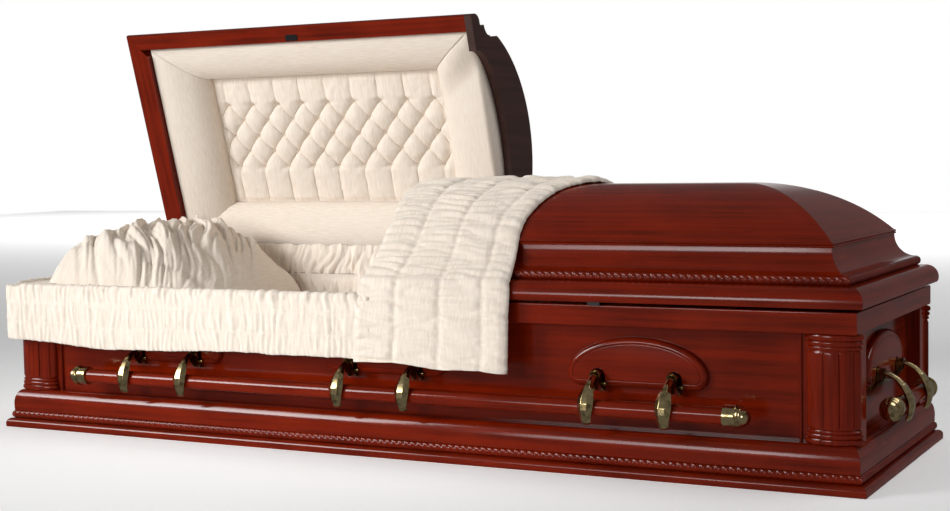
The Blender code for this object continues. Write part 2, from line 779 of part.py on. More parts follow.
def build_box(wood, dark):
    """Floor, walls, base moulding, rail and corner posts."""
    floor_x = LENGTH / 2 - PANEL_INSET
    floor_y = WIDTH / 2 - PANEL_INSET
    add_box("bottom_board", (-floor_x, -floor_y, 0), (floor_x, floor_y, BOARD), dark)
    low = BOARD + GAP
    high = RAIL_BOTTOM - GAP
    for name, sign in (("side_panel_front", -1), ("side_panel_back", 1)):
        near, far = sorted((sign * floor_y, sign * (floor_y - WALL)))
        add_box(name, (-floor_x, near, low), (floor_x, far, high), wood)
    end_y = floor_y - WALL - GAP
    for name, sign in (("end_panel_head", -1), ("end_panel_foot", 1)):
        near, far = sorted((sign * floor_x, sign * (floor_x - WALL)))
        add_box(name, (near, -end_y, low), (far, end_y, high), wood)
    for side in ("front", "back", "head", "foot"):
        moulding = finish_mesh("base_moulding", mitred_length(base_profile(), side))
        add_object(f"base_moulding_{side}", moulding, wood, smooth=True)
        rail = finish_mesh("top_rail", mitred_length(rail_profile(), side))
        add_object(f"top_rail_{side}", rail, wood)
    for side, flip_y in (("front", 1), ("back", -1)):
        for end, flip_x in (("foot", 1), ("head", -1)):
            bm = corner_post()
            bmesh.ops.scale(bm, vec=(flip_x, flip_y, 1), verts=bm.verts)
            name = f"corner_post_{side}_{end}"
            add_object(name, finish_mesh(name, bm), wood, smooth=True)


def handle_stations():
    """(name, centre on the wall's face, turn about Z) for each plaque."""
    front = WIDTH / 2 - PANEL_INSET
    end = LENGTH / 2 - PANEL_INSET
    stations = []
    for side, y, turn in (("front", -front, 0.0), ("back", front, math.pi)):
        for place, x in (("head", -HANDLE_PITCH), ("middle", 0.0), ("foot", HANDLE_PITCH)):
            stations.append((f"{side}_{place}", (x, y, 0.0), turn))
    stations.append(("end_foot", (end, 0.0, 0.0), math.pi / 2))
    stations.append(("end_head", (-end, 0.0, 0.0), -math.pi / 2))
    return stations


def build_handles(wood, brass):
    """Plaques and brackets on the walls, and the four handles on their pivots."""
    plaque_mesh = finish_mesh("plaque", plaque())
    brackets = bracket_mesh()
    for name, place, turn in handle_stations():
        for kind, mesh, material in (("plaque", plaque_mesh, wood), ("bracket", brackets, brass)):
            obj = add_object(f"handle_{kind}_{name}", mesh, material, smooth=True)
            obj.location = place
            obj.rotation_euler = (0.0, 0.0, turn)
    half = ARM_PITCH / 2
    long_arms = [c + s * half for c in (-HANDLE_PITCH, 0.0, HANDLE_PITCH) for s in (-1, 1)]
    long_bar = 2 * (HANDLE_PITCH + half + BAR_OVERHANG + TIP_LENGTH / 2)
    short_bar = ARM_PITCH + 2 * (END_BAR_OVERHANG + TIP_LENGTH / 2)
    side_mesh = handle_mesh("side_handle", long_bar, long_arms)
    end_mesh = handle_mesh("end_handle", short_bar, [-half, half])
    side_out = WIDTH / 2 - PANEL_INSET + PIVOT_OUT
    end_out = LENGTH / 2 - PANEL_INSET + PIVOT_OUT
    places = (
        ("handle_front", side_mesh, (0.0, -side_out, PIVOT_HEIGHT), 0.0),
        ("handle_back", side_mesh, (0.0, side_out, PIVOT_HEIGHT), math.pi),
        ("handle_foot", end_mesh, (end_out, 0.0, PIVOT_HEIGHT), math.pi / 2),
        ("handle_head", end_mesh, (-end_out, 0.0, PIVOT_HEIGHT), -math.pi / 2),
    )
    for name, mesh, place, turn in places:
        pivot = add_pivot(f"{name}_pivot", place, (0.0, 0.0, turn))
        obj = add_object(name, mesh, brass, smooth=True)
        obj.parent = pivot


def build_lid(prefix, sign, angle, wood, dark):
    """Crown, three lengths of rim and the header of one lid, on its hinge pivot."""
    pivot = add_pivot(f"{prefix}_hinge", (0.0, HINGE_Y, HINGE_Z), (-angle, 0.0, 0.0))
    cut = HEADER_INNER + GAP
    end_side = "head" if sign < 0 else "foot"
    span = (-LENGTH, -cut) if sign < 0 else (cut, LENGTH)
    shell = add_object(f"{prefix}_crown", finish_mesh("crown", crown(sign)), wood, smooth=True)
    hang_on(shell, pivot)
    for side in ("front", "back"):
        bm = cut_ends(mitred_length(rim_profile(), side), *span)
        name = f"{prefix}_rim_{side}"
        hang_on(add_object(name, finish_mesh(name, bm), wood, smooth=True), pivot)
    name = f"{prefix}_rim_end"
    rim_end = finish_mesh(name, mitred_length(rim_profile(), end_side))
    hang_on(add_object(name, rim_end, wood, smooth=True), pivot)
    near, far = sorted((sign * SPLIT_GAP / 2, sign * HEADER_INNER))
    name = f"{prefix}_header"
    board = finish_mesh(name, along_x(header_outline(), near, far))
    hang_on(add_object(name, board, dark), pivot)
    return pivot


def build_small_metal(black, brass, head_pivot):
    """Catch and strike in the seam, and the two hinge leaves at the back."""
    front = -(WIDTH / 2 - RAIL_INSET)
    low = RAIL_TOP + GAP
    high = LID_BOTTOM - GAP
    half = LATCH_WIDTH / 2
    catch_x = LENGTH * LATCH_SHARE
    near = (catch_x - half, front - LATCH_OUT, low)
    far = (catch_x + half, front + LATCH_DEPTH - LATCH_OUT, high)
    add_box("lid_catch", near, far, black)
    half = STRIKE_WIDTH / 2
    middle = -(WIDTH / 2 - LID_INSET - RIM_WIDTH / 2)
    strike_x = -LENGTH * STRIKE_SHARE
    near = (strike_x - half, middle - STRIKE_DEPTH / 2, high - STRIKE_THICK)
    far = (strike_x + half, middle + STRIKE_DEPTH / 2, high)
    hang_on(add_box("head_lid_strike", near, far, black), head_pivot)
    outline = hinge_outline()
    far = LENGTH / 2 - HINGE_END
    for name, start, end in (("hinge_head", -far, -HEADER_INNER), ("hinge_foot", HEADER_INNER, far)):
        add_object(name, finish_mesh(name, along_x(outline, start, end)), brass)


def build_soft_parts(cream, head_pivot, foot_pivot):
    """Bed, linings, pillow, skirt and throw as plain closed solids of the right size."""
    x_in = LENGTH / 2 - RAIL_INNER - GAP
    y_in = WIDTH / 2 - RAIL_INNER - GAP
    outer = (-x_in, x_in, -y_in, y_in)
    inner = (-x_in + LINING, x_in - LINING, -y_in + LINING, y_in - LINING)
    wall = [(0.0, BOARD + GAP), (1.0, BOARD + GAP), (1.0, RAIL_TOP - GAP), (0.0, RAIL_TOP - GAP)]
    add_object("body_lining", finish_mesh("body_lining", lid_ring(outer, inner, wall, wall)), cream)
    bed_x = LENGTH / 2 - LINING_INNER - BED_MARGIN
    bed_y = WIDTH / 2 - LINING_INNER - BED_MARGIN
    add_box("mattress", (-bed_x, -bed_y, BOARD + GAP), (bed_x, bed_y, BED_TOP), cream)
    add_object("pillow", finish_mesh("pillow", pillow()), cream, smooth=True)
    add_object("rim_skirt", finish_mesh("rim_skirt", skirt()), cream, smooth=True)
    apron_y = HINGE_Y - LEAF_WIDTH - GAP
    near = (-bed_x, apron_y - APRON_THICK, RAIL_TOP + GAP)
    add_box("lining_apron", near, (-SPLIT_GAP, apron_y, APRON_TOP), cream)
    rolls = add_object("head_lid_rolls", finish_mesh("rolls", lining_rolls()), cream, smooth=True)
    hang_on(rolls, head_pivot)
    panel = add_object("head_lid_tufted_panel", finish_mesh("tufted_panel", tufted_panel()), cream)
    hang_on(panel, head_pivot)
    cloth = add_object("throw", finish_mesh("throw", throw()), cream, smooth=True)
    hang_on(cloth, foot_pivot)


def main():
    clear_scene()
    wood = make_material("stained_wood", "5E1E14", 0.22)
    dark = make_material("plain_wood", "3E2018", 0.5)
    brass = make_material("antique_brass", "B08A4A", 0.28, 1.0)
    black = make_material("black_steel", "101010", 0.4)
    cream = make_material("cream_cloth", "EDE0CB", 0.85)
    build_box(wood, dark)
    build_handles(wood, brass)
    head_pivot = build_lid("head_lid", -1, LID_OPEN, wood, dark)
    foot_pivot = build_lid("foot_lid", 1, 0.0, wood, dark)
    build_small_metal(black, brass, head_pivot)
    build_soft_parts(cream, head_pivot, foot_pivot)


main()
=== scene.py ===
"""Half-couch casket: stained wood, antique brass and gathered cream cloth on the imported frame.

Metres, +Z up, X along the casket with the head end at -X, -Y the front. An inset is a
distance in from the edge of the foot of the base moulding. Lid pieces are drawn shut,
and those of the head lid are then turned open about the hinge.
"""

import math

import bmesh
import bpy
import numpy as np
from mathutils import Matrix, Vector


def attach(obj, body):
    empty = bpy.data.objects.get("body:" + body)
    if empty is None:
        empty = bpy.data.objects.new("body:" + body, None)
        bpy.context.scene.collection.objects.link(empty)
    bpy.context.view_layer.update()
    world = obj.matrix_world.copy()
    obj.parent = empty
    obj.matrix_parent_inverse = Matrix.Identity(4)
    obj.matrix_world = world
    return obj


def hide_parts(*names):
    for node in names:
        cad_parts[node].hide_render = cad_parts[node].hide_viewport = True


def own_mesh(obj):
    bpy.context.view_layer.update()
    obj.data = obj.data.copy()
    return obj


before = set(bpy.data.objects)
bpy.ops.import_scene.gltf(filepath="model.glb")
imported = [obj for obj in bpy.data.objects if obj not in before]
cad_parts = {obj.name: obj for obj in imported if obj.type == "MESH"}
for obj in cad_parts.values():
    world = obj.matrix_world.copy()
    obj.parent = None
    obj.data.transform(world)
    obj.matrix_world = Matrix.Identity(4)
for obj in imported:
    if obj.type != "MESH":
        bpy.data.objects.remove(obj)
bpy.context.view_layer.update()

bl_info = {
    "name": "Half-couch casket",
    "version": (1, 0, 0),
    "blender": (4, 5, 0),
    "location": "View3D > Sidebar > Casket",
    "description": "Builds the visible pieces, finishes and stage of a half-couch casket",
    "category": "Object",
}

# Plan and heights of the box and the lids
HALF_L = 1.065
HALF_W = 0.340
BASE_TOP = 0.091
RAIL_LOW = 0.301
RAIL_TOP = 0.344
RAIL_INNER = 0.078
PANEL_INSET = 0.056
SEAM = 0.351
RIM_TOP = 0.4705
RIM_INNER = 0.068
CROWN_INSET = 0.0875
CROWN_RADIUS = 0.3444
CROWN_CENTRE = 0.2366
CROWN_SHELL = 0.010
HEADER_NEAR = 0.003
HEADER_FAR = 0.022
LID_CUT = 0.0223
ARCH = (0.243, 0.097)
HINGE = (0.3285, 0.3475)
LID_ANGLE = math.radians(-73.7)
LID_FRONT_INNER = 0.0485
BEAD_POINTS = 7
TOUCH = 0.0003  # gap between pieces that meet
BASE_ROPE = (0.0168, 0.0212, 0.0182)  # inset, low edge and height of the rope
LID_ROPE = (0.0462, 0.3915, 0.0180)

# Handles
PLAQUE_LOW = 0.176
PLAQUE_HALF = 0.151
PLAQUE_MIDDLE = 0.203
PLAQUE_RISE = 0.076
PLAQUE_CORNER = 0.027
HANDLE_PITCH = 0.590
ARM_HALF_PITCH = 0.0825
PIVOT_OUT = 0.030
PIVOT_HEIGHT = 0.200
BAR_OUT = 0.058
BAR_DROP = 0.060
BAR_RADIUS = 0.0165
TIP_LENGTH = 0.054
LONG_BAR = 1.689
SHORT_BAR = 0.359
NOTCH_RADIUS = 0.0165
LUG_OUTER = (0.0113, 0.0100)
LUG_INNER = (0.0078, 0.0065)

# Heights and corners of the cloth
FLANGE_AT_CORNER = 0.3472
VALANCE_HEM = 0.213
VALANCE_CORNER = 0.050
VALANCE_STITCHES = (0.142, 0.150, 0.196)
THROW_STITCHES = (0.27, 0.56, 0.84)
TUFT_PITCH = 0.080
TUFT_ROW = 0.0438
TUFT_ROWS = 5
SHEET_WALL = 0.002

# Colours that aren't in the panel
BOARD_DEEP = "35190F"
PLAIN_BOARD = ("2C130C", "4A2418")
# Brass of the lugs and screws: cast brass made much darker, as painted shade of the plaque notches that they
# sit in
NOTCH_SHADED_BRASS = ("A8925F", "2A2212")
ENAMEL = "0B0B0B"

# Stage. A lamp has a place, a target, a size, watts, a spread in degrees, and whether it is mirrored.
FLOOR_HALF = 12
LAMPS = {
    "low_front": ((-0.65, -3.6, 0.88), (-0.2, 0, 0.4), (1.3, 0.7), 3.7, 60, True),
    "high_left": ((-2.7, -2.5, 1.8), (-0.5, 0, 0.6), (2.2, 1.3), 13.3, 52, True),
    "high_right": ((1.9, 0.5, 2.7), (0.5, 0, 0.4), (1.6, 1.6), 4.0, 66, True),
    "far_floor": ((-4.0, 9.0, 3.3), (-4.0, 9.0, 0.0), (16.0, 5.0), 430, 180, False),
}
CAMERA_PLACE = (1.8055, -3.2778, 0.6602)
CAMERA_TURN = (27.845, 3.761, -1.0585)  # azimuth, pitch down and roll, in degrees
SENSOR = 36.0
FOCAL_SHARE = 1607.75 / 950  # focal length over the picture's width


# ---- numbers and grids ----


def smooth(low, high, value):
    """0 below low, 1 above high, and 3t^2 - 2t^3 between."""
    t = np.clip((value - low) / (high - low), 0.0, 1.0)
    return t * t * (3 - 2 * t)


def noise(x, y, seed):
    """Smooth noise, about -1 to 1: random slopes at whole numbers, blended by 6t^5 - 15t^4 + 10t^3."""
    turns = np.random.default_rng(seed).uniform(0, 2 * np.pi, (256, 256))
    xi, yi = np.floor(x).astype(int), np.floor(y).astype(int)
    fx, fy = x - xi, y - yi
    u, v = (f**3 * (f * (f * 6 - 15) + 10) for f in (fx, fy))

    def slope(i, j):
        turn = turns[(xi + i) % 256, (yi + j) % 256]
        return np.cos(turn) * (fx - i) + np.sin(turn) * (fy - j)

    low = slope(0, 0) * (1 - u) + slope(1, 0) * u
    high = slope(0, 1) * (1 - u) + slope(1, 1) * u
    return 1.5 * (low * (1 - v) + high * v)


def folds(across, along, seed):
    """Cloth folds: the size of two layers of noise, long in one direction, so that their tops are
    round and their valleys sharp."""
    wide = np.abs(noise(across, along, seed)) ** 0.8
    fine = np.abs(noise(across * 2.3 + 7, along * 1.7, seed + 1)) ** 0.8
    return wide * 1.25 + fine * 0.45


def arc(centre, radii, start, end, count):
    """Points of an ellipse's arc between two angles in degrees, as (across, up)."""
    turn = np.radians(np.linspace(start, end, count))
    return np.stack([centre[0] + radii[0] * np.cos(turn), centre[1] + radii[1] * np.sin(turn)], -1)


def line(*points):
    """Rows of numbers as an array."""
    return np.array(points, float)


def closed(*stretches):
    """Stretches of outline joined end to end, with the first point repeated at the end."""
    outline = np.vstack(stretches)
    return np.vstack([outline, outline[:1]])


def resampled(outline, count):
    """The same line with its points spread evenly by length."""
    steps = np.linalg.norm(np.diff(outline, axis=0), axis=1)
    length = np.concatenate([[0], np.cumsum(steps)])
    even = np.linspace(0, length[-1], count)
    return np.stack([np.interp(even, length, outline[:, i]) for i in range(outline.shape[1])], -1)


def opened(points):
    """Points of the shut head lid turned about the hinge line to where it stands open."""
    y, z = points[..., 1] - HINGE[0], points[..., 2] - HINGE[1]
    c, s = math.cos(LID_ANGLE), math.sin(LID_ANGLE)
    return np.stack([points[..., 0], HINGE[0] + y * c - z * s, HINGE[1] + y * s + z * c], -1)


def read_off(value, *pairs):
    """The line through (place, amount) pairs, read at a value."""
    places, amounts = zip(*pairs)
    return np.interp(value, places, amounts)


def normals(points):
    """Unit normals of a grid, from the cross product of its two directions."""
    made = np.cross(np.gradient(points, axis=1), np.gradient(points, axis=0))
    return made / np.maximum(np.linalg.norm(made, axis=-1, keepdims=True), 1e-12)


def run(side, profile, span=None, columns=2):
    """A profile of (inset, z) along one side. Each point goes from mitre plane to mitre plane,
    an inset in from both corners, or to a square cut where span gives one."""
    inset, z = profile[:, 0], profile[:, 1]
    lengthwise = side in ("front", "back")
    half_along, half_out = (HALF_L, HALF_W) if lengthwise else (HALF_W, HALF_L)
    far = half_along - np.maximum(inset, 1e-6) - (TOUCH if lengthwise else 0.0)
    near = -far
    if span is not None:
        near, far = np.maximum(near, span[0]), np.minimum(far, span[1])
    t = np.linspace(0, 1, columns)
    along = near[:, None] + (far - near)[:, None] * t
    out = np.broadcast_to((half_out - inset)[:, None], along.shape)
    up = np.broadcast_to(z[:, None], along.shape)
    x, y = {"front": (along, -out), "back": (along, out), "foot": (out, along), "head": (-out, along)}[side]
    return np.stack([x, y, up], -1)


class Shape:
    """Points, grain coordinates in metres and faces of one piece, gathered grid by grid."""

    def __init__(self):
        self.points, self.grain, self.faces, self.count = [], [], [], 0

    def grid(self, points, grain=None, flip=False):
        rows, columns = points.shape[:2]
        if grain is None:
            u = np.linalg.norm(np.diff(points, axis=1), axis=2).mean(0)
            v = np.linalg.norm(np.diff(points, axis=0), axis=2).mean(1)
            u, v = np.meshgrid(np.concatenate([[0], np.cumsum(u)]), np.concatenate([[0], np.cumsum(v)]))
            grain = np.stack([u, v], -1)
        index = self.count + np.arange(rows * columns).reshape(rows, columns)
        quads = np.stack([index[:-1, :-1], index[1:, :-1], index[1:, 1:], index[:-1, 1:]], -1)
        quads = quads.reshape(-1, 4)
        self.faces += (quads[:, ::-1] if flip else quads).tolist()
        self.points.append(points.reshape(-1, 3))
        self.grain.append(grain.reshape(-1, 2))
        self.count += rows * columns
        return index

    def tube(self, points, grain=None):
        """A grid whose rows close on themselves, with a cap over its first and last column."""
        index = self.grid(points, grain)
        self.faces += [index[:-1, 0].tolist(), index[:-1, -1][::-1].tolist()]

    def build(self, name, material, sharp=35.0, weld=True):
        mesh = bpy.data.meshes.new(name)
        mesh.from_pydata(np.vstack(self.points), [], self.faces)
        grain = np.vstack(self.grain)
        corner = np.zeros(len(mesh.loops), np.int32)
        mesh.loops.foreach_get("vertex_index", corner)
        mesh.uv_layers.new(name="grain").data.foreach_set("uv", grain[corner].ravel())
        if weld:
            bm = bmesh.new()
            bm.from_mesh(mesh)
            bmesh.ops.remove_doubles(bm, verts=bm.verts, dist=1e-6)
            bmesh.ops.dissolve_degenerate(bm, edges=bm.edges, dist=1e-7)
            bmesh.ops.recalc_face_normals(bm, faces=bm.faces)
            bm.to_mesh(mesh)
            bm.free()
        return link(name, mesh, material, sharp)


def gridded(*grids):
    """A shape of open grids."""
    shape = Shape()
    for points in grids:
        shape.grid(points)
    return shape


def tubed(*grids):
    """A shape of grids whose rows close on themselves."""
    shape = Shape()
    for points in grids:
        shape.tube(points)
    return shape


def boxed(top, under):
    """Two grids that face each other, with strips between their borders."""
    edges = [np.stack([top[i], under[i]]) for i in (0, -1)]
    sides = [np.stack([top[:, i], under[:, i]]) for i in (0, -1)]
    return gridded(top, under, *edges, *sides)


def link(name, mesh, material, sharp=35.0):
    """An object of smooth faces in the scene, with its edges past an angle in degrees kept sharp."""
    mesh.materials.clear()
    mesh.materials.append(material)
    mesh.shade_smooth()
    mesh.set_sharp_from_angle(angle=math.radians(sharp))
    made = bpy.data.objects.new(name, mesh)
    bpy.context.scene.collection.objects.link(made)
    return made


def piece(made, body, slot, *nodes):
    """Sets a finished object on its body and hides the solids that it stands for."""
    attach(made, body)
    if nodes:
        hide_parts(*nodes)
    return made


def thicken(made, thickness, offset=-1.0):
    """Gives a sheet its thickness, inwards for an offset of -1 and outwards for 1."""
    wall = made.modifiers.new("thickness", "SOLIDIFY")
    wall.thickness = thickness
    wall.offset = offset
    return made


# ---- finishes ----


def linear(hex_colour):
    """Linear red, green, blue and alpha of an sRGB colour of six hexadecimal digits."""
    values = [int(hex_colour[i : i + 2], 16) / 255 for i in (0, 2, 4)]
    return (*[v / 12.92 if v <= 0.04045 else ((v + 0.055) / 1.055) ** 2.4 for v in values], 1.0)


def feed(tree, node, inputs):
    """Sets each named input of a node to a value, or links it where the value is a socket."""
    for key, value in inputs.items():
        if isinstance(value, bpy.types.NodeSocket):
            tree.links.new(value, node.inputs[key])
        else:
            node.inputs[key].default_value = value


def add(tree, kind, inputs=None, **settings):
    """Adds a shader node, sets its properties, and sets or links its inputs."""
    made = tree.nodes.new("ShaderNode" + kind)
    for name, value in settings.items():
        setattr(made, name, value)
    feed(tree, made, inputs or {})
    return made


def new_material(name):
    """A material with its node tree and its Principled shader."""
    material = bpy.data.materials.new(name)
    material.use_nodes = True
    tree = material.node_tree
    return material, tree, tree.nodes["Principled BSDF"]


def lacquered_wood(name, deep, body, glow, source="UV", turn=0.0, gloss=0.7, polish=0.13):
    """Mahogany veneer, stained red and lacquered: long figure 15 mm apart, pores 1.2 mm apart,
    a cloudy stain 150 mm wide, and a clear coat over it all. turn is the grain's angle to X."""
    material, tree, shader = new_material(name)
    place = add(tree, "TexCoord").outputs[source]
    lying = add(tree, "Mapping", {"Vector": place, "Rotation": (0.0, 0.0, turn)}).outputs[0]
    long = add(tree, "Mapping", {"Vector": lying, "Scale": (2.4, 66.0, 66.0)}).outputs[0]
    figure = add(tree, "TexNoise", {"Vector": long, "Scale": 1.0, "Detail": 4.0, "Roughness": 0.62})
    thin = add(tree, "Mapping", {"Vector": lying, "Scale": (22.0, 800.0, 800.0)}).outputs[0]
    pores = add(tree, "TexNoise", {"Vector": thin, "Scale": 1.0, "Detail": 2.0})
    cloud = add(tree, "TexNoise", {"Vector": lying, "Scale": 6.5, "Detail": 3.0})
    banded = add(tree, "MapRange", {0: figure.outputs[0], 1: 0.30, 2: 0.62})
    cloudy = add(tree, "MapRange", {0: cloud.outputs[0], 1: 0.35, 2: 0.75})
    porous = add(tree, "MapRange", {0: pores.outputs[0], 1: 0.54, 2: 0.76, 4: 0.35})
    base = add(tree, "Mix", {0: banded.outputs[0], 6: linear(deep), 7: linear(body)}, data_type="RGBA")
    half = add(tree, "Math", {0: cloudy.outputs[0], 1: 0.5}, operation="MULTIPLY")
    lit = add(tree, "Mix", {0: half.outputs[0], 6: base.outputs[2], 7: linear(glow)}, data_type="RGBA")
    dark = add(tree, "Mix", {0: porous.outputs[0], 6: lit.outputs[2], 7: linear(deep)}, data_type="RGBA")
    rise = add(tree, "Bump", {"Height": pores.outputs[0], "Strength": 0.03, "Distance": 0.0001})
    feed(tree, shader, {
        "Base Color": dark.outputs[2],
        "Roughness": 0.5,
        "IOR": 1.5,
        "Specular IOR Level": 0.0,
        "Normal": rise.outputs[0],
        "Coat Weight": gloss,
        "Coat Roughness": polish,
        "Coat IOR": 1.5,
    })
    return material


def matt_wood(name, deep, body, turn=0.0):
    """The parting boards of the lids, stained dark and left matt: grain 20 mm wide, no coat."""
    material, tree, shader = new_material(name)
    place = add(tree, "TexCoord").outputs["Object"]
    lying = add(tree, "Mapping", {"Vector": place, "Rotation": (0.0, 0.0, turn)}).outputs[0]
    long = add(tree, "Mapping", {"Vector": lying, "Scale": (50.0, 3.0, 50.0)}).outputs[0]
    figure = add(tree, "TexNoise", {"Vector": long, "Scale": 1.0, "Detail": 5.0, "Roughness": 0.6})
    band = add(tree, "MapRange", {0: figure.outputs[0], 1: 0.3, 2: 0.7})
    base = add(tree, "Mix", {0: band.outputs[0], 6: linear(deep), 7: linear(body)}, data_type="RGBA")
    rise = add(tree, "Bump", {"Height": figure.outputs[0], "Strength": 0.2, "Distance": 0.0004})
    feed(tree, shader, {"Base Color": base.outputs[2], "Roughness": 0.55, "IOR": 1.5,
                        "Normal": rise.outputs[0]})
    return material


def antique_brass(name, bright, brown):
    """Cast brass, polished and toned: browner in clouds 12 mm wide, which are also a little duller."""
    material, tree, shader = new_material(name)
    place = add(tree, "TexCoord").outputs["Object"]
    cloud = add(tree, "TexNoise", {"Vector": place, "Scale": 85.0, "Detail": 3.0, "Roughness": 0.5})
    tone = add(tree, "MapRange", {0: cloud.outputs[0], 1: 0.45, 2: 0.75})
    base = add(tree, "Mix", {0: tone.outputs[0], 6: linear(bright), 7: linear(brown)}, data_type="RGBA")
    rough = add(tree, "MapRange", {0: cloud.outputs[0], 1: 0.3, 2: 0.7, 3: 0.12, 4: 0.26})
    feed(tree, shader, {"Base Color": base.outputs[2], "Metallic": 1.0, "Roughness": rough.outputs[0]})
    return material


def black_steel(name, colour):
    """Stamped steel with black enamel: satin, with a faint orange-peel skin 2 mm wide."""
    material, tree, shader = new_material(name)
    place = add(tree, "TexCoord").outputs["Object"]
    skin = add(tree, "TexNoise", {"Vector": place, "Scale": 500.0, "Detail": 2.0})
    rise = add(tree, "Bump", {"Height": skin.outputs[0], "Strength": 0.15, "Distance": 0.0003})
    feed(tree, shader, {"Base Color": linear(colour), "Roughness": 0.35, "Normal": rise.outputs[0]})
    return material


def crepe(name, light, shade, slub=(260.0, 26.0), sheen=0.25):
    """Matt polyester crepe: threads drawn 1.5 mm wide so that they show, slubs 4 mm by 40 mm,
    a faint clouding of tone, and a soft sheen at glancing angles."""
    material, tree, shader = new_material(name)
    place = add(tree, "TexCoord").outputs["UV"]
    long = add(tree, "Mapping", {"Vector": place, "Scale": (slub[0], slub[1], 1.0)}).outputs[0]
    threads = add(tree, "TexNoise", {"Vector": long, "Scale": 1.0, "Detail": 3.0, "Roughness": 0.6})
    grain = add(tree, "TexNoise", {"Vector": place, "Scale": 700.0, "Detail": 2.0})
    both = add(tree, "Math", {0: threads.outputs[0], 1: grain.outputs[0]}, operation="ADD")
    tone = add(tree, "MapRange", {0: threads.outputs[0], 1: 0.35, 2: 0.65})
    base = add(tree, "Mix", {0: tone.outputs[0], 6: linear(shade), 7: linear(light)}, data_type="RGBA")
    rise = add(tree, "Bump", {"Height": both.outputs[0], "Strength": 0.3, "Distance": 0.0006})
    feed(tree, shader, {
        "Base Color": base.outputs[2],
        "Roughness": 0.8,
        "IOR": 1.5,
        "Specular IOR Level": 0.3,
        "Sheen Weight": sheen,
        "Sheen Roughness": 0.4,
        "Normal": rise.outputs[0],
    })
    return material


# ---- wood ----


def base_profile():
    """Foot lip, seat of the rope and torus of the base moulding, as (inset, z)."""
    lip = arc((0.0105, 0.0095), (0.0105, 0.011), 180, 90, 10)
    seat = line((0.0155, 0.0205), (0.0170, 0.0215), (0.0170, 0.0390), (0.0155, 0.0400), (0.0152, 0.0425))
    torus = arc((0.0330, 0.0560), (0.0180, 0.0345), 190, 90, 16)
    back = PANEL_INSET - 0.0005
    ledge = line((0.0345, 0.0905), (0.0350, BASE_TOP), (back, BASE_TOP), (back, 0.0))
    return closed(line((0.0008, 0.0), (0.0, 0.002)), lip, seat, torus, ledge)


def rail_profile():
    """Top rail, as (inset, z): a flat front with its two edges rounded."""
    edge = arc((0.0270, 0.3048), (0.0040, 0.0035), 270, 180, 6)
    top = arc((0.0250, 0.3420), (0.0020, 0.0020), 180, 90, 4)
    front = line((0.0230, 0.3062), (0.0230, 0.3406))
    return closed(edge, front, top, line((RAIL_INNER, RAIL_TOP), (RAIL_INNER, RAIL_LOW)))


def rim_line():
    """Outer line of the lid from the seam up: torus, seat of the rope, cove and double bead."""
    torus = arc((0.0325, 0.3615), (0.0245, 0.0290), 180, 90, 16)
    under = line((0.0112, SEAM), (0.0096, 0.3528), (0.0084, 0.3565))
    seat = line((0.0350, 0.3908), (0.0455, 0.3912), (0.0465, 0.3922), (0.0465, 0.4088), (0.0455, 0.4100))
    cove = arc((0.0465, 0.4606), (0.0405, 0.0500), -88, 0, 16)
    beads = [arc((0.0866, z), (0.0032, 0.0024), 270, 90, BEAD_POINTS) for z in (0.4633, 0.4682)]
    return np.vstack([under, torus, seat, cove, *beads])


def rim_profile(inner):
    """The rim's closed section, whose inner face stands at the given inset."""
    return closed(rim_line(), line((0.0870, RIM_TOP), (0.1040, RIM_TOP), (0.0690, 0.4105), (0.0690, 0.3950),
                                   (inner, 0.3740), (inner, SEAM)))


def rope(side, seat, span, pitch, depth):
    """Carved rope: half an ellipse along the side, with strands cut into it. A strand's height is the
    root of the cosine of its phase, which grows along the rope and by a whole turn over the band."""
    inset, low, height = seat
    half_along = HALF_L if side in ("front", "back") else HALF_W
    columns = int(2 * half_along / 0.0026)
    turn = np.radians(np.linspace(-90, 90, 9))[:, None]
    flat = np.stack([inset - 0.0062 * np.cos(turn[:, 0]), np.full(9, low + height / 2)], -1)
    points = run(side, flat, span, columns)
    along = points[..., 0] if side in ("front", "back") else points[..., 1]
    phase = along / pitch + turn / np.pi * 1.1
    strand = np.sqrt(np.abs(np.cos(np.pi * phase)))
    bulge = -np.cos(turn) * depth * (1 - strand)
    sign = {"front": (1, -1), "back": (1, 1), "foot": (0, 1), "head": (0, -1)}[side]
    points[..., sign[0]] += sign[1] * bulge
    points[..., 2] += np.sin(turn) * (height / 2 - 0.0008 * (1 - strand))
    return points


def crown_points(sign, radius, count, columns):
    """The three slopes of a hipped crown. A row's inset and height follow a circle about the crown's
    centre from its foot to the ridge, and the row runs along the front, the end or the back."""
    start = math.acos((RIM_TOP + TOUCH - CROWN_CENTRE) / radius)
    turn = np.linspace(start, 0, count)
    inset, z = HALF_W - radius * np.sin(turn), CROWN_CENTRE + radius * np.cos(turn)
    far, half = HALF_L - inset, HALF_W - inset
    t = np.linspace(0, 1, columns)
    along = LID_CUT + (far - LID_CUT)[:, None] * t
    across = half[:, None] * (2 * t - 1)
    up = np.broadcast_to(z[:, None], along.shape)
    front = np.stack([sign * along, np.broadcast_to(-half[:, None], along.shape), up], -1)
    back = np.stack([sign * along, np.broadcast_to(half[:, None], along.shape), up], -1)
    end = np.stack([np.broadcast_to(sign * far[:, None], across.shape), across, up], -1)
    return [front, end, back]


def crown(sign):
    """Outer and inner slopes of one lid's shell with strips that close its foot and its square cut."""
    shape = Shape()
    rows = 22
    outer = crown_points(sign, CROWN_RADIUS, rows, 24)
    inner = crown_points(sign, CROWN_RADIUS - CROWN_SHELL, rows, 24)
    for surface, shell in zip(outer, inner):
        shape.grid(surface)
        shape.grid(shell)
        shape.grid(np.stack([surface[0], shell[0]]))
    for side in (0, 2):
        shape.grid(np.stack([outer[side][:, 0], inner[side][:, 0]]))
    return shape


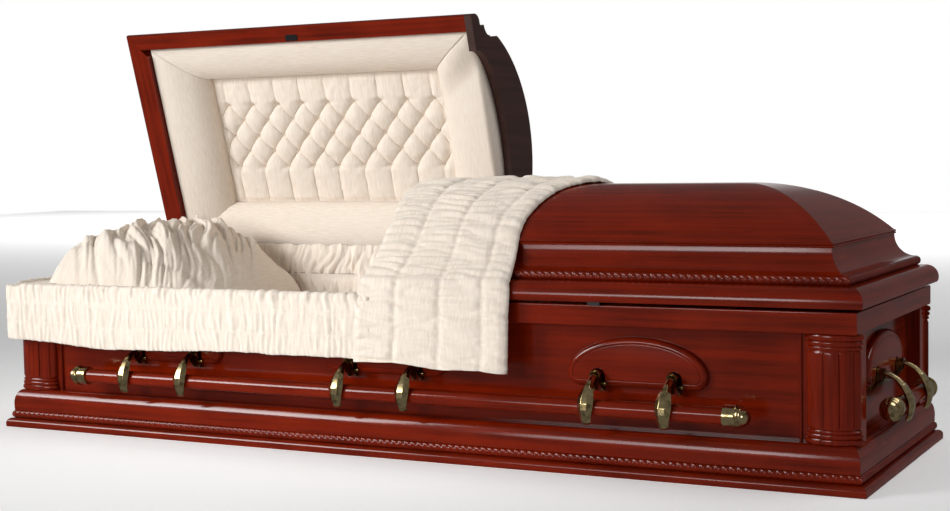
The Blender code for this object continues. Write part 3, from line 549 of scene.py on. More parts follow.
def header(near, far):
    """Parting board: the lid's section, less an arch. Its faces run between the arch and the outline,
    both read off at equal angles about the middle of the seam, so no quad folds over."""
    half = rim_line()[: -2 * BEAD_POINTS]
    start = math.acos((RIM_TOP + TOUCH - CROWN_CENTRE) / CROWN_RADIUS)
    turn = np.linspace(start, 0, 40)
    dome = np.stack([HALF_W - CROWN_RADIUS * np.sin(turn), CROWN_CENTRE + CROWN_RADIUS * np.cos(turn)], -1)
    half = np.vstack([half, dome])
    left = np.stack([-(HALF_W - half[:, 0]), half[:, 1]], -1)
    left[:, 1] = np.maximum(left[:, 1], SEAM)
    outline = np.vstack([left, left[-2::-1] * [-1, 1]])
    angle = np.arctan2(outline[:, 1] - SEAM, -outline[:, 0])
    angle = np.maximum.accumulate(angle)
    arch = np.stack([-ARCH[0] * np.cos(angle), SEAM + ARCH[1] * np.sin(angle)], -1)
    shape = Shape()
    rings = []
    for x in (near, far):
        rings.append([np.column_stack([np.full(len(angle), x), ring]) for ring in (arch, outline)])
    for near_ring, far_ring in rings:
        shape.grid(np.stack([near_ring, far_ring]))
    for k in (0, 1):
        shape.grid(np.stack([rings[0][k], rings[1][k]]))
    for end in (0, -1):
        shape.grid(np.array([[rings[0][0][end], rings[0][1][end]], [rings[1][0][end], rings[1][1][end]]]))
    return shape


def post(flip_x, flip_y):
    """Corner post: a flat backing round the corner, a slim bead, and a half column with five broad
    reeds. The column is half an ellipse whose size changes with height by the ring profile, and each
    reed is a shallow round between two narrow grooves."""
    shape = Shape()
    front, right = 0.2875, 1.0375
    left = right - 0.115
    low, high = BASE_TOP + TOUCH, RAIL_LOW - TOUCH
    wall, turn = 0.2838, 1.0088
    plan = closed(line((left, front), (right - 0.002, front), (right, front - 0.002), (right, wall - 0.052),
                       (turn, wall - 0.052), (turn, wall), (left, wall)))

    def upright(outline, z):
        flat = outline * [flip_x, -flip_y]
        return np.stack([np.column_stack([flat, np.full(len(flat), h)]) for h in z], 1)

    shape.tube(upright(plan, (low, high)))
    bead = closed(arc((left + 0.004, front - 0.0005), (0.0036, 0.0040), 0, 180, 9))
    shape.tube(upright(bead, (low, high)))
    rings = line((0, 0.99), (0.0010, 1.035), (0.0030, 1.060), (0.0075, 1.060), (0.0098, 1.030),
                 (0.0108, 0.955), (0.0122, 1.000), (0.0142, 1.030), (0.0175, 1.025), (0.0195, 0.990),
                 (0.0203, 0.940), (0.0215, 0.975), (0.0232, 0.998), (0.0256, 0.992), (0.0272, 0.960),
                 (0.0280, 0.915), (0.0294, 0.935), (0.0310, 0.960))
    from_top = (high - rings[:, 0] * 1.08)[::-1]
    z = np.concatenate([low + rings[:, 0], [low + 0.0345], [high - 0.0375], from_top])
    share = np.concatenate([rings[:, 1], [0.985], [0.985], rings[::-1, 1]])
    reeded = np.concatenate([np.zeros(len(rings)), [1, 1], np.zeros(len(rings))])
    turn_at = np.linspace(0, np.pi, 141)
    within = np.abs(((turn_at / np.pi * 5) % 1) - 0.5) * 2
    groove = smooth(0.90, 1.0, within) * 0.0030 + within**2 * 0.0006
    size = share[:, None] - (reeded[:, None] * groove) / 0.028
    x = (right - 0.0460) + 0.0535 * size * np.cos(turn_at)
    out = front - 0.0004 + 0.0275 * size * np.sin(turn_at)
    column = np.stack([x * flip_x, -out * flip_y, np.broadcast_to(z[:, None], x.shape)], -1)
    column = np.concatenate([column, column[:, :1]], 1).transpose(1, 0, 2)
    shape.tube(column)
    return shape


def plaque_mesh(wood):
    """Half-oval board. Rings step in from the outline by set distances, and their height follows a
    rolled edge, a narrow groove and a flat field; two notches are then cut up from its lower edge."""
    upper = arc((0, PLAQUE_MIDDLE), (PLAQUE_HALF, PLAQUE_RISE), 0, 180, 72)
    inner = PLAQUE_HALF - PLAQUE_CORNER
    left = arc((-inner, PLAQUE_MIDDLE), (PLAQUE_CORNER, PLAQUE_CORNER), 180, 270, 16)[1:]
    right = arc((inner, PLAQUE_MIDDLE), (PLAQUE_CORNER, PLAQUE_CORNER), 270, 360, 16)[:-1]
    flat = np.stack([np.linspace(-inner, inner, 40)[1:-1], np.full(38, PLAQUE_LOW)], -1)
    outline = np.vstack([upper, left, flat, right])
    ahead = np.roll(outline, -1, 0) - np.roll(outline, 1, 0)
    inward = np.stack([-ahead[:, 1], ahead[:, 0]], -1) / np.linalg.norm(ahead, axis=1)[:, None]
    steps = line((0, TOUCH), (0, 0.0030), (0.0005, 0.0058), (0.0016, 0.0086), (0.0034, 0.0110),
                 (0.0058, 0.0128), (0.0086, 0.0138), (0.0114, 0.0141), (0.0126, 0.0139), (0.0132, 0.0130),
                 (0.0140, 0.0130), (0.0146, 0.0138), (0.0160, 0.0140))
    rings = [np.column_stack([outline[:, 0] + d * inward[:, 0], np.full(len(outline), -h),
                              outline[:, 1] + d * inward[:, 1]]) for d, h in steps]
    rings = np.stack(rings, 1)
    shape = Shape()
    shape.tube(np.concatenate([rings, rings[:1]], 0))
    board = shape.build("plaque_blank", wood)
    for centre in (-ARM_HALF_PITCH, ARM_HALF_PITCH):
        dome = arc((centre, 0.1972), (NOTCH_RADIUS, NOTCH_RADIUS), 180, 0, 25)
        foot = [line((centre + side * NOTCH_RADIUS, PLAQUE_LOW - 0.01)) for side in (-1, 1)]
        notch = closed(foot[0], dome, foot[1])
        cut = Shape()
        cut.tube(np.stack([np.insert(notch, 1, y, axis=1) for y in (-0.03, 0.02)], 1))
        cutter = cut.build("plaque_notch", wood)
        trim = board.modifiers.new("notch", "BOOLEAN")
        trim.operation, trim.solver, trim.object = "DIFFERENCE", "EXACT", cutter
        bpy.context.view_layer.update()
        graph = bpy.context.evaluated_depsgraph_get()
        mesh = bpy.data.meshes.new_from_object(board.evaluated_get(graph))
        bpy.data.objects.remove(cutter)
        bpy.data.objects.remove(board)
        board = link("plaque_blank", mesh, wood)
    mesh = board.data
    bpy.data.objects.remove(board)
    return mesh


def stations():
    """(name, place on the wall's face, turn about Z) of each plaque."""
    front, end = HALF_W - PANEL_INSET, HALF_L - PANEL_INSET
    found = []
    for side, y, turn in (("front", -front, 0.0), ("back", front, math.pi)):
        for place, x in (("head", -HANDLE_PITCH), ("middle", 0.0), ("foot", HANDLE_PITCH)):
            found.append((f"{side}_{place}", (x, y, 0.0), turn))
    found.append(("end_foot", (end, 0.0, 0.0), math.pi / 2))
    found.append(("end_head", (-end, 0.0, 0.0), -math.pi / 2))
    return found


def placed(points, place, turn):
    """Points turned about Z, then moved."""
    c, s = math.cos(turn), math.sin(turn)
    x, y, z = points[..., 0], points[..., 1], points[..., 2]
    return np.stack([x * c - y * s + place[0], x * s + y * c + place[1], z + place[2]], -1)


# ---- brass ----


def lugs(place, turn, with_strip):
    """Two lugs and their screws: an upside-down U carried straight out of the wall, which falls back
    towards the wall below the pivot, and a small turned screw end beside it."""
    shape = Shape()
    z = PIVOT_HEIGHT
    outer = arc((0, z + 0.001), LUG_OUTER, 0, 180, 17)
    inner = arc((0, z + 0.001), LUG_INNER, 180, 0, 17)
    high, low, wide, narrow = z - 0.012, z - 0.033, LUG_OUTER[0], LUG_INNER[0]
    legs = [line((-wide, high), (-wide, low), (-narrow, low), (-narrow, high)),
            line((narrow, high), (narrow, low), (wide, low), (wide, high))]
    section = closed(outer, legs[0], inner, legs[1])
    reach = 0.009 + 0.020 * smooth(z - 0.036, z - 0.004, section[:, 1])
    for centre in (-ARM_HALF_PITCH, ARM_HALF_PITCH):
        ends = []
        for out in (0.0003 * np.ones(len(section)), reach):
            ends.append(np.column_stack([section[:, 0] + centre, -out, section[:, 1]]))
        shape.tube(placed(np.stack(ends, 1), place, turn))
        profile = line((0.0100, 0.0), (0.0100, 0.0030), (0.0150, 0.0030), (0.0152, 0.0046), (0.0190, 0.0050),
                       (0.0215, 0.0040), (0.0228, 0.0))
        round_ = np.linspace(0, 2 * np.pi, 17)
        x = np.broadcast_to(centre + profile[:, :1], (len(profile), 17))
        y = -0.016 + profile[:, 1:] * np.cos(round_)
        up = z - 0.017 + profile[:, 1:] * np.sin(round_)
        shape.grid(placed(np.stack([x, y, up], -1), place, turn))
    if with_strip:
        half = ARM_HALF_PITCH + 0.014
        strip = closed(line((-0.0006, 0.1650), (-0.0030, 0.1655), (-0.0030, 0.1750), (-0.0006, 0.1755)))
        ends = [np.insert(strip, 0, x, axis=1) for x in (-half, half)]
        shape.tube(placed(np.stack(ends, 1), place, turn))
    return shape


def spindle(x):
    """Faceted arm: six-sided sections along a line that leaves the pivot, passes over the bar's front
    and hooks under it. A section is as wide and thick as the table says and stands square to the line.
    The columns are distance out from the pivot, height from it, width, thickness and lean in degrees."""
    table = line(
        (-0.004, 0.001, 0.0120, 0.0080, 80),
        (0.008, -0.002, 0.0125, 0.0085, 68),
        (0.022, -0.010, 0.0130, 0.0090, 52),
        (0.034, -0.022, 0.0215, 0.0105, 36),
        (0.0430, -0.0360, 0.0285, 0.0120, 20),
        (0.0490, -0.0500, 0.0305, 0.0130, 8),
        (0.0505, -0.0620, 0.0275, 0.0125, -2),
        (0.0485, -0.0760, 0.0220, 0.0105, -10),
        (0.0460, -0.0840, 0.0185, 0.0090, -18),
        (0.0450, -0.0862, 0.0205, 0.0100, -24),
        (0.0415, -0.0905, 0.0170, 0.0070, -42),
    )
    facets = line((-0.5, 0), (-0.20, 0.60), (0.20, 0.60), (0.5, 0), (0.36, -0.45), (-0.36, -0.45), (-0.5, 0))
    lean = np.radians(table[:, 4])
    across = x + facets[:, 0][:, None] * table[:, 2] * 1.18
    shift = facets[:, 1][:, None] * table[:, 3]
    return np.stack([across, -table[:, 0] - np.cos(lean) * shift, table[:, 1] + np.sin(lean) * shift], -1)


def turned(profile, sides=40):
    """A profile of (x, radius) turned about the X axis."""
    angle = np.linspace(0, 2 * np.pi, sides + 1)
    x = np.broadcast_to(profile[:, :1], (len(profile), sides + 1))
    return np.stack([x, profile[:, 1:] * np.cos(angle), profile[:, 1:] * np.sin(angle)], -1)


def tip_profile(half):
    """Turned bar tip: a collar, a double ring at its middle and a stepped cap."""
    table = line((0.000, 0.0160), (0.000, 0.0205), (0.0015, 0.0218), (0.006, 0.0222), (0.012, 0.0216),
                 (0.020, 0.0214), (0.0245, 0.0212), (0.0250, 0.0232), (0.0268, 0.0240), (0.0284, 0.0232),
                 (0.0290, 0.0218), (0.0300, 0.0232), (0.0316, 0.0236), (0.0330, 0.0226), (0.0336, 0.0208),
                 (0.0360, 0.0212), (0.0390, 0.0196), (0.0400, 0.0180), (0.0425, 0.0180), (0.0445, 0.0160),
                 (0.0470, 0.0152), (0.0500, 0.0116), (0.0525, 0.0066), (0.0538, 0.0))
    return table + [half - TIP_LENGTH, 0]


# ---- cloth ----


def roll_ring(face, count, side, columns):
    """One padded roll of the head lid. Across it the depth is a quarter ellipse from its outer edge to
    the tufted panel, and its two ends lie on the mitres."""
    x_low, x_high = -(HALF_L - RIM_INNER - 0.0006), -HEADER_FAR - 0.0006
    y_low, y_high = -(HALF_W - 0.0491), HALF_W - RIM_INNER - 0.0006
    widths = {"head": 0.137, "header": 0.137, "front": 0.1065, "back": 0.105}
    t = np.linspace(0, 1, count)[:, None]
    s = np.linspace(0, 1, columns)[None, :]
    lo_x, hi_x = x_low + widths["head"] * t, x_high - widths["header"] * t
    lo_y, hi_y = y_low + widths["front"] * t, y_high - widths["back"] * t
    one = np.ones((count, columns))
    if side in ("front", "back"):
        x, y = lo_x + (hi_x - lo_x) * s, (lo_y if side == "front" else hi_y) * one
        travel = x * one
    else:
        x, y = (lo_x if side == "head" else hi_x) * one, lo_y + (hi_y - lo_y) * s
        travel = y * one
    edge = face
    if side == "header":
        gap = np.minimum(y - lo_y, hi_y - y)
        edge = face + 0.030 * smooth(0.0, 0.10, gap)
    deep = 0.086
    depth = edge + (deep - edge) * (1 - np.sqrt(np.maximum(1 - t**2.1, 0)))
    depth = depth + 0.006 * (1 - smooth(0, 0.06, t)) ** 2
    depth = depth + 0.0007 * noise(travel * 12, t * 3 * one, 5)
    points = np.stack([x * one, y * one, SEAM + depth * one], -1)
    flank = points[:1].copy()
    if side == "header":
        arch = ARCH[1] * np.sqrt(np.maximum(1 - (flank[..., 1] / ARCH[0]) ** 2, 0))
        flank[..., 2] = SEAM + np.maximum(edge[:1] + 0.006, arch + 0.012)
    else:
        flank[..., 2] += 0.03
    return np.concatenate([flank, points], 0)


def tufted():
    """Diamond tufting: the height is a root of the product of two sines whose zero lines are the
    diamonds' seams, less a small pit at each button; past the first and last row of buttons the
    seams run straight to the edge."""
    x_low, x_high, reach_low, reach_high = -0.862, -0.157, 0.159, 0.516
    x = np.linspace(x_low, x_high, 250)
    reach = np.linspace(reach_low, reach_high, 125)
    x, reach = np.meshgrid(x, reach)
    pitch, row = TUFT_PITCH, TUFT_ROW
    top = 0.437
    bottom = top - (TUFT_ROWS - 1) * row
    wobble = 0.0016 * noise(x * 22, reach * 22, 11)
    held = np.clip(reach, bottom, top)
    along = (x + 0.51 + wobble) / pitch
    up = (held - top + wobble) / (2 * row)
    a, b = along + up, along - up
    beyond = np.abs(reach - held)
    puff = (np.abs(np.sin(np.pi * a)) * np.abs(np.sin(np.pi * b)) + 1e-9) ** 0.33
    pleat = (np.abs(np.sin(np.pi * along)) + 1e-9) ** 0.28
    fade = smooth(0.0, 0.012, beyond)
    puff = puff * (1 - fade) + (0.46 + 0.54 * pleat) * fade
    near = np.zeros_like(x)
    for j in range(TUFT_ROWS):
        shift = 0.5 * (j % 2)
        column = np.round(along - shift) + shift
        distance = np.hypot((along - column) * pitch, reach - (top - j * row))
        near = np.maximum(near, np.exp(-((distance / 0.0075) ** 2)))
    button = np.clip(1 - (near < 0.62), 0, 1)
    edge = np.minimum.reduce([x - x_low, x_high - x, reach - reach_low, reach_high - reach])
    height = 0.019 * puff - 0.007 * near + 0.0016 * button + 0.0011 * noise(x * 60, reach * 60, 12)
    height = height * smooth(-0.004, 0.02, edge)
    z = SEAM + 0.0995 - height - 0.010 * (1 - smooth(0.0, 0.016, edge))
    return np.stack([x, HINGE[0] - reach, z], -1)


def throw_points(depth):
    """Throw over the foot lid. Its section goes from behind the ridge along a circle above the crown,
    then falls past the rim to the hem. The two edges wander along it, and folds that run along the
    casket ride on top, pinched along three rows of stitches."""
    clear = 0.0045
    radius = CROWN_RADIUS + clear
    behind, before = 0.165, HALF_W - CROWN_INSET - 0.006
    turn = np.linspace(math.asin(behind / radius), -math.asin(before / radius), 60)
    crown_part = np.stack([radius * np.sin(turn), CROWN_CENTRE + radius * np.cos(turn)], -1)
    drop = line((-0.262, 0.462), (-0.286, 0.432), (-0.312, 0.405), (-0.334, 0.385), (-0.3405, 0.360),
                (-0.3425, 0.330), (-0.3435, 0.290), (-0.3440, 0.240), (-0.3440, 0.205))
    section = resampled(np.vstack([crown_part, drop]), 240)
    total = np.linalg.norm(np.diff(section, axis=0), axis=1).sum()
    s = np.linspace(0, total, 240)
    left = read_off(s, (0, -0.035), (0.16, -0.045), (0.30, -0.036), (0.42, -0.011), (0.52, -0.018),
                    (0.60, -0.034), (total, -0.046))
    right = read_off(s, (0, 0.392), (0.16, 0.383), (0.26, 0.342), (0.33, 0.325), (0.40, 0.312), (0.45, 0.313),
                     (0.60, 0.331), (total, 0.326))
    columns = 150
    t = np.linspace(0, 1, columns)[None, :]
    x = left[:, None] + (right - left)[:, None] * t
    along = np.broadcast_to(s[:, None], x.shape)
    out = np.broadcast_to(section[:, None, 0], x.shape)
    up = np.broadcast_to(section[:, None, 1], x.shape)
    hem = smooth(total - 0.10, total, along)
    up = up + hem * (0.010 * noise(x * 9, x * 0, 21) + 0.012 * (0.5 - t))
    points = np.stack([x, out, up], -1)
    bend = 0.35 * noise(x * 7, along * 5, 22)
    crease = folds((along + 0.006 * noise(x * 16, along * 9, 23)) * 44 + bend, x * 6.5, 24)
    stitch = np.zeros_like(x)
    for place in THROW_STITCHES:
        away = t - place + 0.01 * noise(along * 8, t * 0, 25)
        stitch = np.maximum(stitch, np.exp(-((away / 0.022) ** 2)))
    pucker = noise(x * 30, along * 120, 26)
    edge = np.minimum(t, 1 - t)
    round_edge = np.sqrt(np.clip(edge / 0.045, 0, 1))
    height = depth * (crease * (1 - 0.5 * stitch))
    height = height + 0.0020 * pucker * (0.3 + stitch) - 0.0014 * stitch
    height = clear + height + 0.004 * noise(x * 8, along * 7, 27)
    height = height * (0.25 + 0.75 * round_edge)
    outward = normals(points)
    outward = outward * np.sign(outward[..., 2:] - outward[..., 1:2])
    return points + outward * height[..., None], outward


def skirt_points(depth):
    """Valance over the rim. A section goes from inside the mouth over the rail and down to the hem, and
    is carried along the front, round the head corner and along the head end. Its gathers are noise
    that is short along the rim and long down it, pinched at three rows of stitches. A ruffle stands
    where it turns over the edge, and the flange under the shut lid is kept flat."""
    section = line((0.0870, 0.3300), (0.0862, 0.3420), (0.0800, 0.3474), (0.0500, 0.3478), (0.0200, 0.3482),
                   (0.0078, 0.3486), (0.0010, 0.3530), (-0.0045, 0.3500), (-0.0055, 0.3400),
                   (-0.0060, 0.3000), (-0.0060, 0.2600), (-0.0050, 0.2200), (-0.0040, VALANCE_HEM))
    section = resampled(section, 72)
    step = np.linalg.norm(np.diff(section, axis=0), axis=1).sum()
    down = np.linspace(0, step, 72)[:, None]
    corner = VALANCE_CORNER
    straight = HALF_L - 0.006 - corner
    bend = corner * np.pi / 2
    side = HALF_W - corner + 0.262
    s = np.arange(0, straight + bend + side, 0.0031)[None, :]
    inset, z = section[:, :1], section[:, 1:]
    radius = np.maximum(corner - inset, 0.0)
    turn = np.clip((s - straight) / bend, 0, 1) * np.pi / 2
    x = np.where(s < straight, -0.002 - s, -(HALF_L - corner) - radius * np.sin(turn))
    x = np.where(inset > corner, np.maximum(x, -(HALF_L - inset)), x)
    x = np.where(s > straight + bend, -(HALF_L - inset), x)
    before_end = s <= straight + bend
    centre = -(HALF_W - corner)
    y = np.where(before_end, centre - radius * np.cos(turn), centre + (s - straight - bend))
    y = np.where((inset > corner) & before_end, -(HALF_W - inset), y)
    y = np.where((inset > corner) & ~before_end, np.maximum(y, -(HALF_W - inset)), y)
    up = np.broadcast_to(z, x.shape)
    wander = 0.008 * noise(s * 6, s * 0, 31) + 0.004 * noise(s * 21, s * 0, 32)
    hem = smooth(step - 0.12, step, down)
    sag = read_off(s, (0, 0.213), (0.06, 0.213), (0.29, 0.217), (0.72, 0.206), (1.03, 0.221), (1.3, 0.222),
                   (1.8, 0.222)) - VALANCE_HEM
    up = up + hem * (sag + wander * 0.4)
    leaving = smooth(straight + bend, straight + bend + 0.03, s)
    rounded = smooth(straight - 0.03, straight, s) * (1 - leaving)
    up = up - rounded * np.maximum(up - FLANGE_AT_CORNER, 0)
    points = np.stack([x, y, up], -1)
    outside = smooth(0.085, 0.110, down)
    gather = folds(s * 70 + 0.5 * noise(s * 9, down * 14, 33), down * 9 + 0 * s, 34)
    tight = noise(s * 190, down * 30, 35)
    stitch = np.zeros_like(x)
    for place in VALANCE_STITCHES:
        away = down - place + 0.0025 * noise(s * 7, s * 0, 36)
        stitch = np.maximum(stitch, np.exp(-((away / 0.003) ** 2)))
    ruffle = np.exp(-(((down - 0.108) / 0.014) ** 2)) * smooth(0.096, 0.104, down) * (1 - rounded)
    height = depth * gather * (0.25 + 0.75 * outside) * (1 - 0.7 * stitch)
    height = height + 0.0010 * tight * (0.4 + stitch)
    height = height + ruffle * 0.0075 * folds(s * 34 + 0.6 * noise(s * 12, down * 9, 38), down * 9, 37)
    outward = normals(points)
    flip = np.where(points[..., 2:] > 0.345, outward[..., 2:], -outward[..., 1:2] - outward[..., :1])
    outward = outward * np.where(flip < 0, -1.0, 1.0)
    under_lid = 1 - smooth(0.095, 0.104, down)
    height = height * (1 - 0.92 * under_lid)
    return points + outward * height[..., None]


def pillow_points(depth):
    """Pillow as a swollen box over the unit square. The top's height is read off a table of places
    along X and Y, its border falls away as a root of 1 less a high power, and long folds run across
    it from the head end's back to the foot end's front."""
    rows, columns = 160, 200
    a = np.linspace(-1, 1, columns)[None, :]
    b = np.linspace(-1, 1, rows)[:, None]
    one = np.ones((rows, columns))
    x = -0.795 + 0.240 * a * one - 0.012 * (b + 1) * (a - 1) * 0.5
    y = 0.243 * b * (1 - 0.02 * a**2) * one
    places = [-1, -0.8, -0.45, 0.0, 0.4, 0.75, 1]
    front = np.interp(a, places, [0.388, 0.396, 0.390, 0.376, 0.352, 0.332, 0.318])
    shelf = np.interp(a, places, [0.444, 0.456, 0.460, 0.446, 0.402, 0.352, 0.322])
    ridge = np.interp(a, places, [0.466, 0.478, 0.490, 0.486, 0.440, 0.372, 0.330])
    low_share = smooth(-1.0, -0.55, b)
    top = front + (shelf - front) * low_share + (ridge - shelf) * smooth(-0.7, 0.2, b)
    low = 0.262
    rim = (1 - np.abs(a) ** 14) ** 0.45 * (1 - np.abs(b) ** 12) ** 0.45
    q, p = (x + y * 0.85) * 0.76, (x - y) * 0.707
    strength = smooth(-0.86, -0.55, a + 0.10 * np.sin(b * 9)) * (1 - 0.75 * smooth(0.35, 0.85, a))
    crease = folds(q * 24 + 0.6 * noise(q * 6, p * 6, 41), p * 3.0, 42)
    finer = folds(q * 66 + 0.4 * noise(q * 14, p * 14, 45), p * 6, 43)
    seam = np.exp(-(((b + 0.60 + 0.05 * np.sin(a * 7)) / 0.07) ** 2)) * smooth(-0.95, -0.85, a)
    gather = noise(x * 150, y * 40, 44)
    lift = strength * (depth * (crease - 0.55) + 0.0045 * (finer - 0.5))
    lift = lift - 0.007 * seam + 0.0016 * gather * (0.2 + seam)
    z = low + (top - low + lift) * rim
    return np.stack([x, y, z], -1), np.stack([x, y, low - 0.008 * rim], -1)


def bed_points():
    """Bedding: a shallow crowned rectangle with soft gathers across the casket."""
    a, b = np.meshgrid(np.linspace(-1, 1, 200), np.linspace(-1, 1, 50))
    x, y = 0.9745 * a, 0.2495 * b
    rim = (1 - np.abs(a) ** 30) ** 0.5 * (1 - np.abs(b) ** 14) ** 0.5
    soft = folds(x * 26 + 0.6 * noise(x * 5, y * 7, 51), y * 4, 52)
    z = 0.205 + 0.0385 * rim + rim * 0.006 * soft
    return np.stack([x, y, z], -1), np.stack([x, y, np.full_like(x, 0.0185)], -1)


def lining_points():
    """Inner lining: a rounded rectangle of cloth hung from the rail, gathered into upright folds."""
    hx, hy, r = 0.984, 0.259, 0.02
    corners = [(hx - r, hy - r, 0), (-hx + r, hy - r, 90), (-hx + r, -hy + r, 180), (hx - r, -hy + r, 270)]
    loop = closed(*[arc(c[:2], (r, r), c[2], c[2] + 90, 8) for c in corners])
    loop = resampled(loop, 700)
    length = np.linalg.norm(np.diff(loop, axis=0), axis=1).sum()
    s = np.linspace(0, length, 700)[None, :]
    z = np.linspace(0.03, 0.3435, 16)[:, None]
    ahead = np.gradient(loop, axis=0)
    inward = np.stack([-ahead[:, 1], ahead[:, 0]], -1) / np.linalg.norm(ahead, axis=1)[:, None]
    soft = folds(s / length * 150 + 0.3 * noise(s * 8, z * 12, 61), z * 5 + 0 * s, 62)
    blend = np.sin(np.pi * s / length) ** 0.05
    push = 0.0012 + 0.0042 * soft * blend * (1 - smooth(0.328, 0.343, z))
    xy = loop[None] + inward[None] * push[..., None]
    return np.concatenate([xy, np.broadcast_to(z[..., None], push.shape + (1,))], -1)


def apron_points():
    """Gathered lining behind the bedding: it rises from inside the box to under the lid's lower roll,
    its top leaning back, with upright folds 30 mm wide, and a loose tuft stands up at its head end."""
    x = np.linspace(-0.972, -0.012, 400)[None, :]
    t = np.linspace(0, 1, 36)[:, None]
    tuft = np.exp(-(((x + 0.948) / 0.017) ** 4))
    z = 0.262 + (0.156 + 0.075 * tuft) * t
    y = 0.246 + 0.006 * np.sin(np.pi * t) + 0.050 * t**2.2 * (1 - 0.35 * tuft)
    soft = folds(x * 34 + 0.5 * noise(x * 7, t * 2.5, 71), t * 1.3 + 0 * x, 72)
    y = y - 0.018 * (soft - 0.5) * (0.30 + 0.70 * np.sin(np.pi * np.clip(t, 0.05, 0.90)))
    z = z + 0.005 * smooth(0.8, 1.0, t) * noise(x * 30, x * 0, 73)
    return np.stack([x + 0.012 * tuft * t, y, z], -1)


# ---- settings ----


def colour(name, description, hex_colour):
    return bpy.props.StringProperty(name=name, description=description, default=hex_colour, maxlen=6)


def length(name, description, default):
    return bpy.props.FloatProperty(name=name, description=description, default=default, min=0.0,
                                   unit="LENGTH")


class CasketColours(bpy.types.PropertyGroup):
    wood_deep: colour("Deep stain", "Darkest tone of the stained wood, sRGB hex", "4A1003")
    wood_body: colour("Stain", "Main tone of the stained wood, sRGB hex", "7A1B03")
    wood_glow: colour("Bright stain", "Where the stain clouds lighter, sRGB hex", "8C270B")
    board: colour("Parting board", "Matt board at the split, sRGB hex", "4A261F")
    brass: colour("Brass", "Polished places of the brass, sRGB hex", "D2BC8C")
    brass_brown: colour("Toned brass", "Hollows and clouds of the brass, sRGB hex", "6B5830")
    cloth: colour("Cloth", "Lit threads of the lining, sRGB hex", "F4E9DC")
    cloth_shade: colour("Cloth shade", "Slubs of the lining, sRGB hex", "E9DBCB")


class CasketSizes(bpy.types.PropertyGroup):
    rope_pitch: length("Rope pitch", "Length of one strand along the carved rope", 0.0155)
    rope_depth: length("Rope depth", "Depth of the cut between strands", 0.0042)
    throw_fold: length("Throw folds", "Height of the folds of the throw", 0.0085)
    skirt_fold: length("Valance folds", "Depth of the gathers of the valance", 0.0042)
    pillow_fold: length("Pillow folds", "Height of the folds across the pillow", 0.026)


def material(name):
    """The finish of that name, made at its first use from the colours in the settings."""
    if name in bpy.data.materials:
        return bpy.data.materials[name]
    c = bpy.context.scene.casket_colours
    wood = (c.wood_deep, c.wood_body, c.wood_glow)
    makers = {
        "lacquered_mahogany": lambda: lacquered_wood(name, *wood),
        "mahogany_panel": lambda: lacquered_wood(name, *wood, source="Object"),
        "mahogany_cross_panel": lambda: lacquered_wood(name, *wood, source="Object", turn=math.pi / 2),
        "matt_parting_board": lambda: matt_wood(name, BOARD_DEEP, c.board),
        "plain_board": lambda: matt_wood(name, *PLAIN_BOARD, turn=math.pi / 2),
        "antique_cast_brass": lambda: antique_brass(name, c.brass, c.brass_brown),
        "notch_shaded_brass": lambda: antique_brass(name, *NOTCH_SHADED_BRASS),
        "black_enamelled_steel": lambda: black_steel(name, ENAMEL),
        "smooth_crepe": lambda: crepe(name, c.cloth, c.cloth_shade, slub=(30.0, 330.0)),
        "crepe": lambda: crepe(name, c.cloth, c.cloth_shade),
    }
    return makers[name]()


# ---- operators ----


class BuildBox(bpy.types.Operator):
    """Base moulding, carved ropes, walls, top rail and corner posts"""

    bl_idname = "casket.build_box"
    bl_label = "Box"

    def execute(self, context):
        sizes = context.scene.casket_sizes
        wood = material("lacquered_mahogany")
        for side in ("front", "back", "head", "foot"):
            moulding = tubed(run(side, base_profile()))
            piece(moulding.build(f"base_{side}", wood), "casket_box", "stained_wood", f"base_moulding_{side}")
            carved = gridded(rope(side, BASE_ROPE, None, sizes.rope_pitch, sizes.rope_depth))
            piece(carved.build(f"base_rope_{side}", wood, 75), "casket_box", "stained_wood")
            rail = tubed(run(side, rail_profile()))
            piece(rail.build(f"rail_{side}", wood), "casket_box", "stained_wood", f"top_rail_{side}")
        for y_name, flip_y in (("front", 1), ("back", -1)):
            for x_name, flip_x in (("foot", 1), ("head", -1)):
                made = post(flip_x, flip_y).build(f"post_{y_name}_{x_name}", wood, 28)
                piece(made, "casket_box", "stained_wood", f"corner_post_{y_name}_{x_name}")
        for name in ("side_panel_front", "side_panel_back"):
            repaint(name, "mahogany_panel")
        for name in ("end_panel_head", "end_panel_foot"):
            repaint(name, "mahogany_cross_panel")
        repaint("bottom_board", "plain_board")
        return {"FINISHED"}


def repaint(node, name):
    """Gives a solid of the frame another finish."""
    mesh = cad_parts[node].data
    mesh.materials.clear()
    mesh.materials.append(material(name))


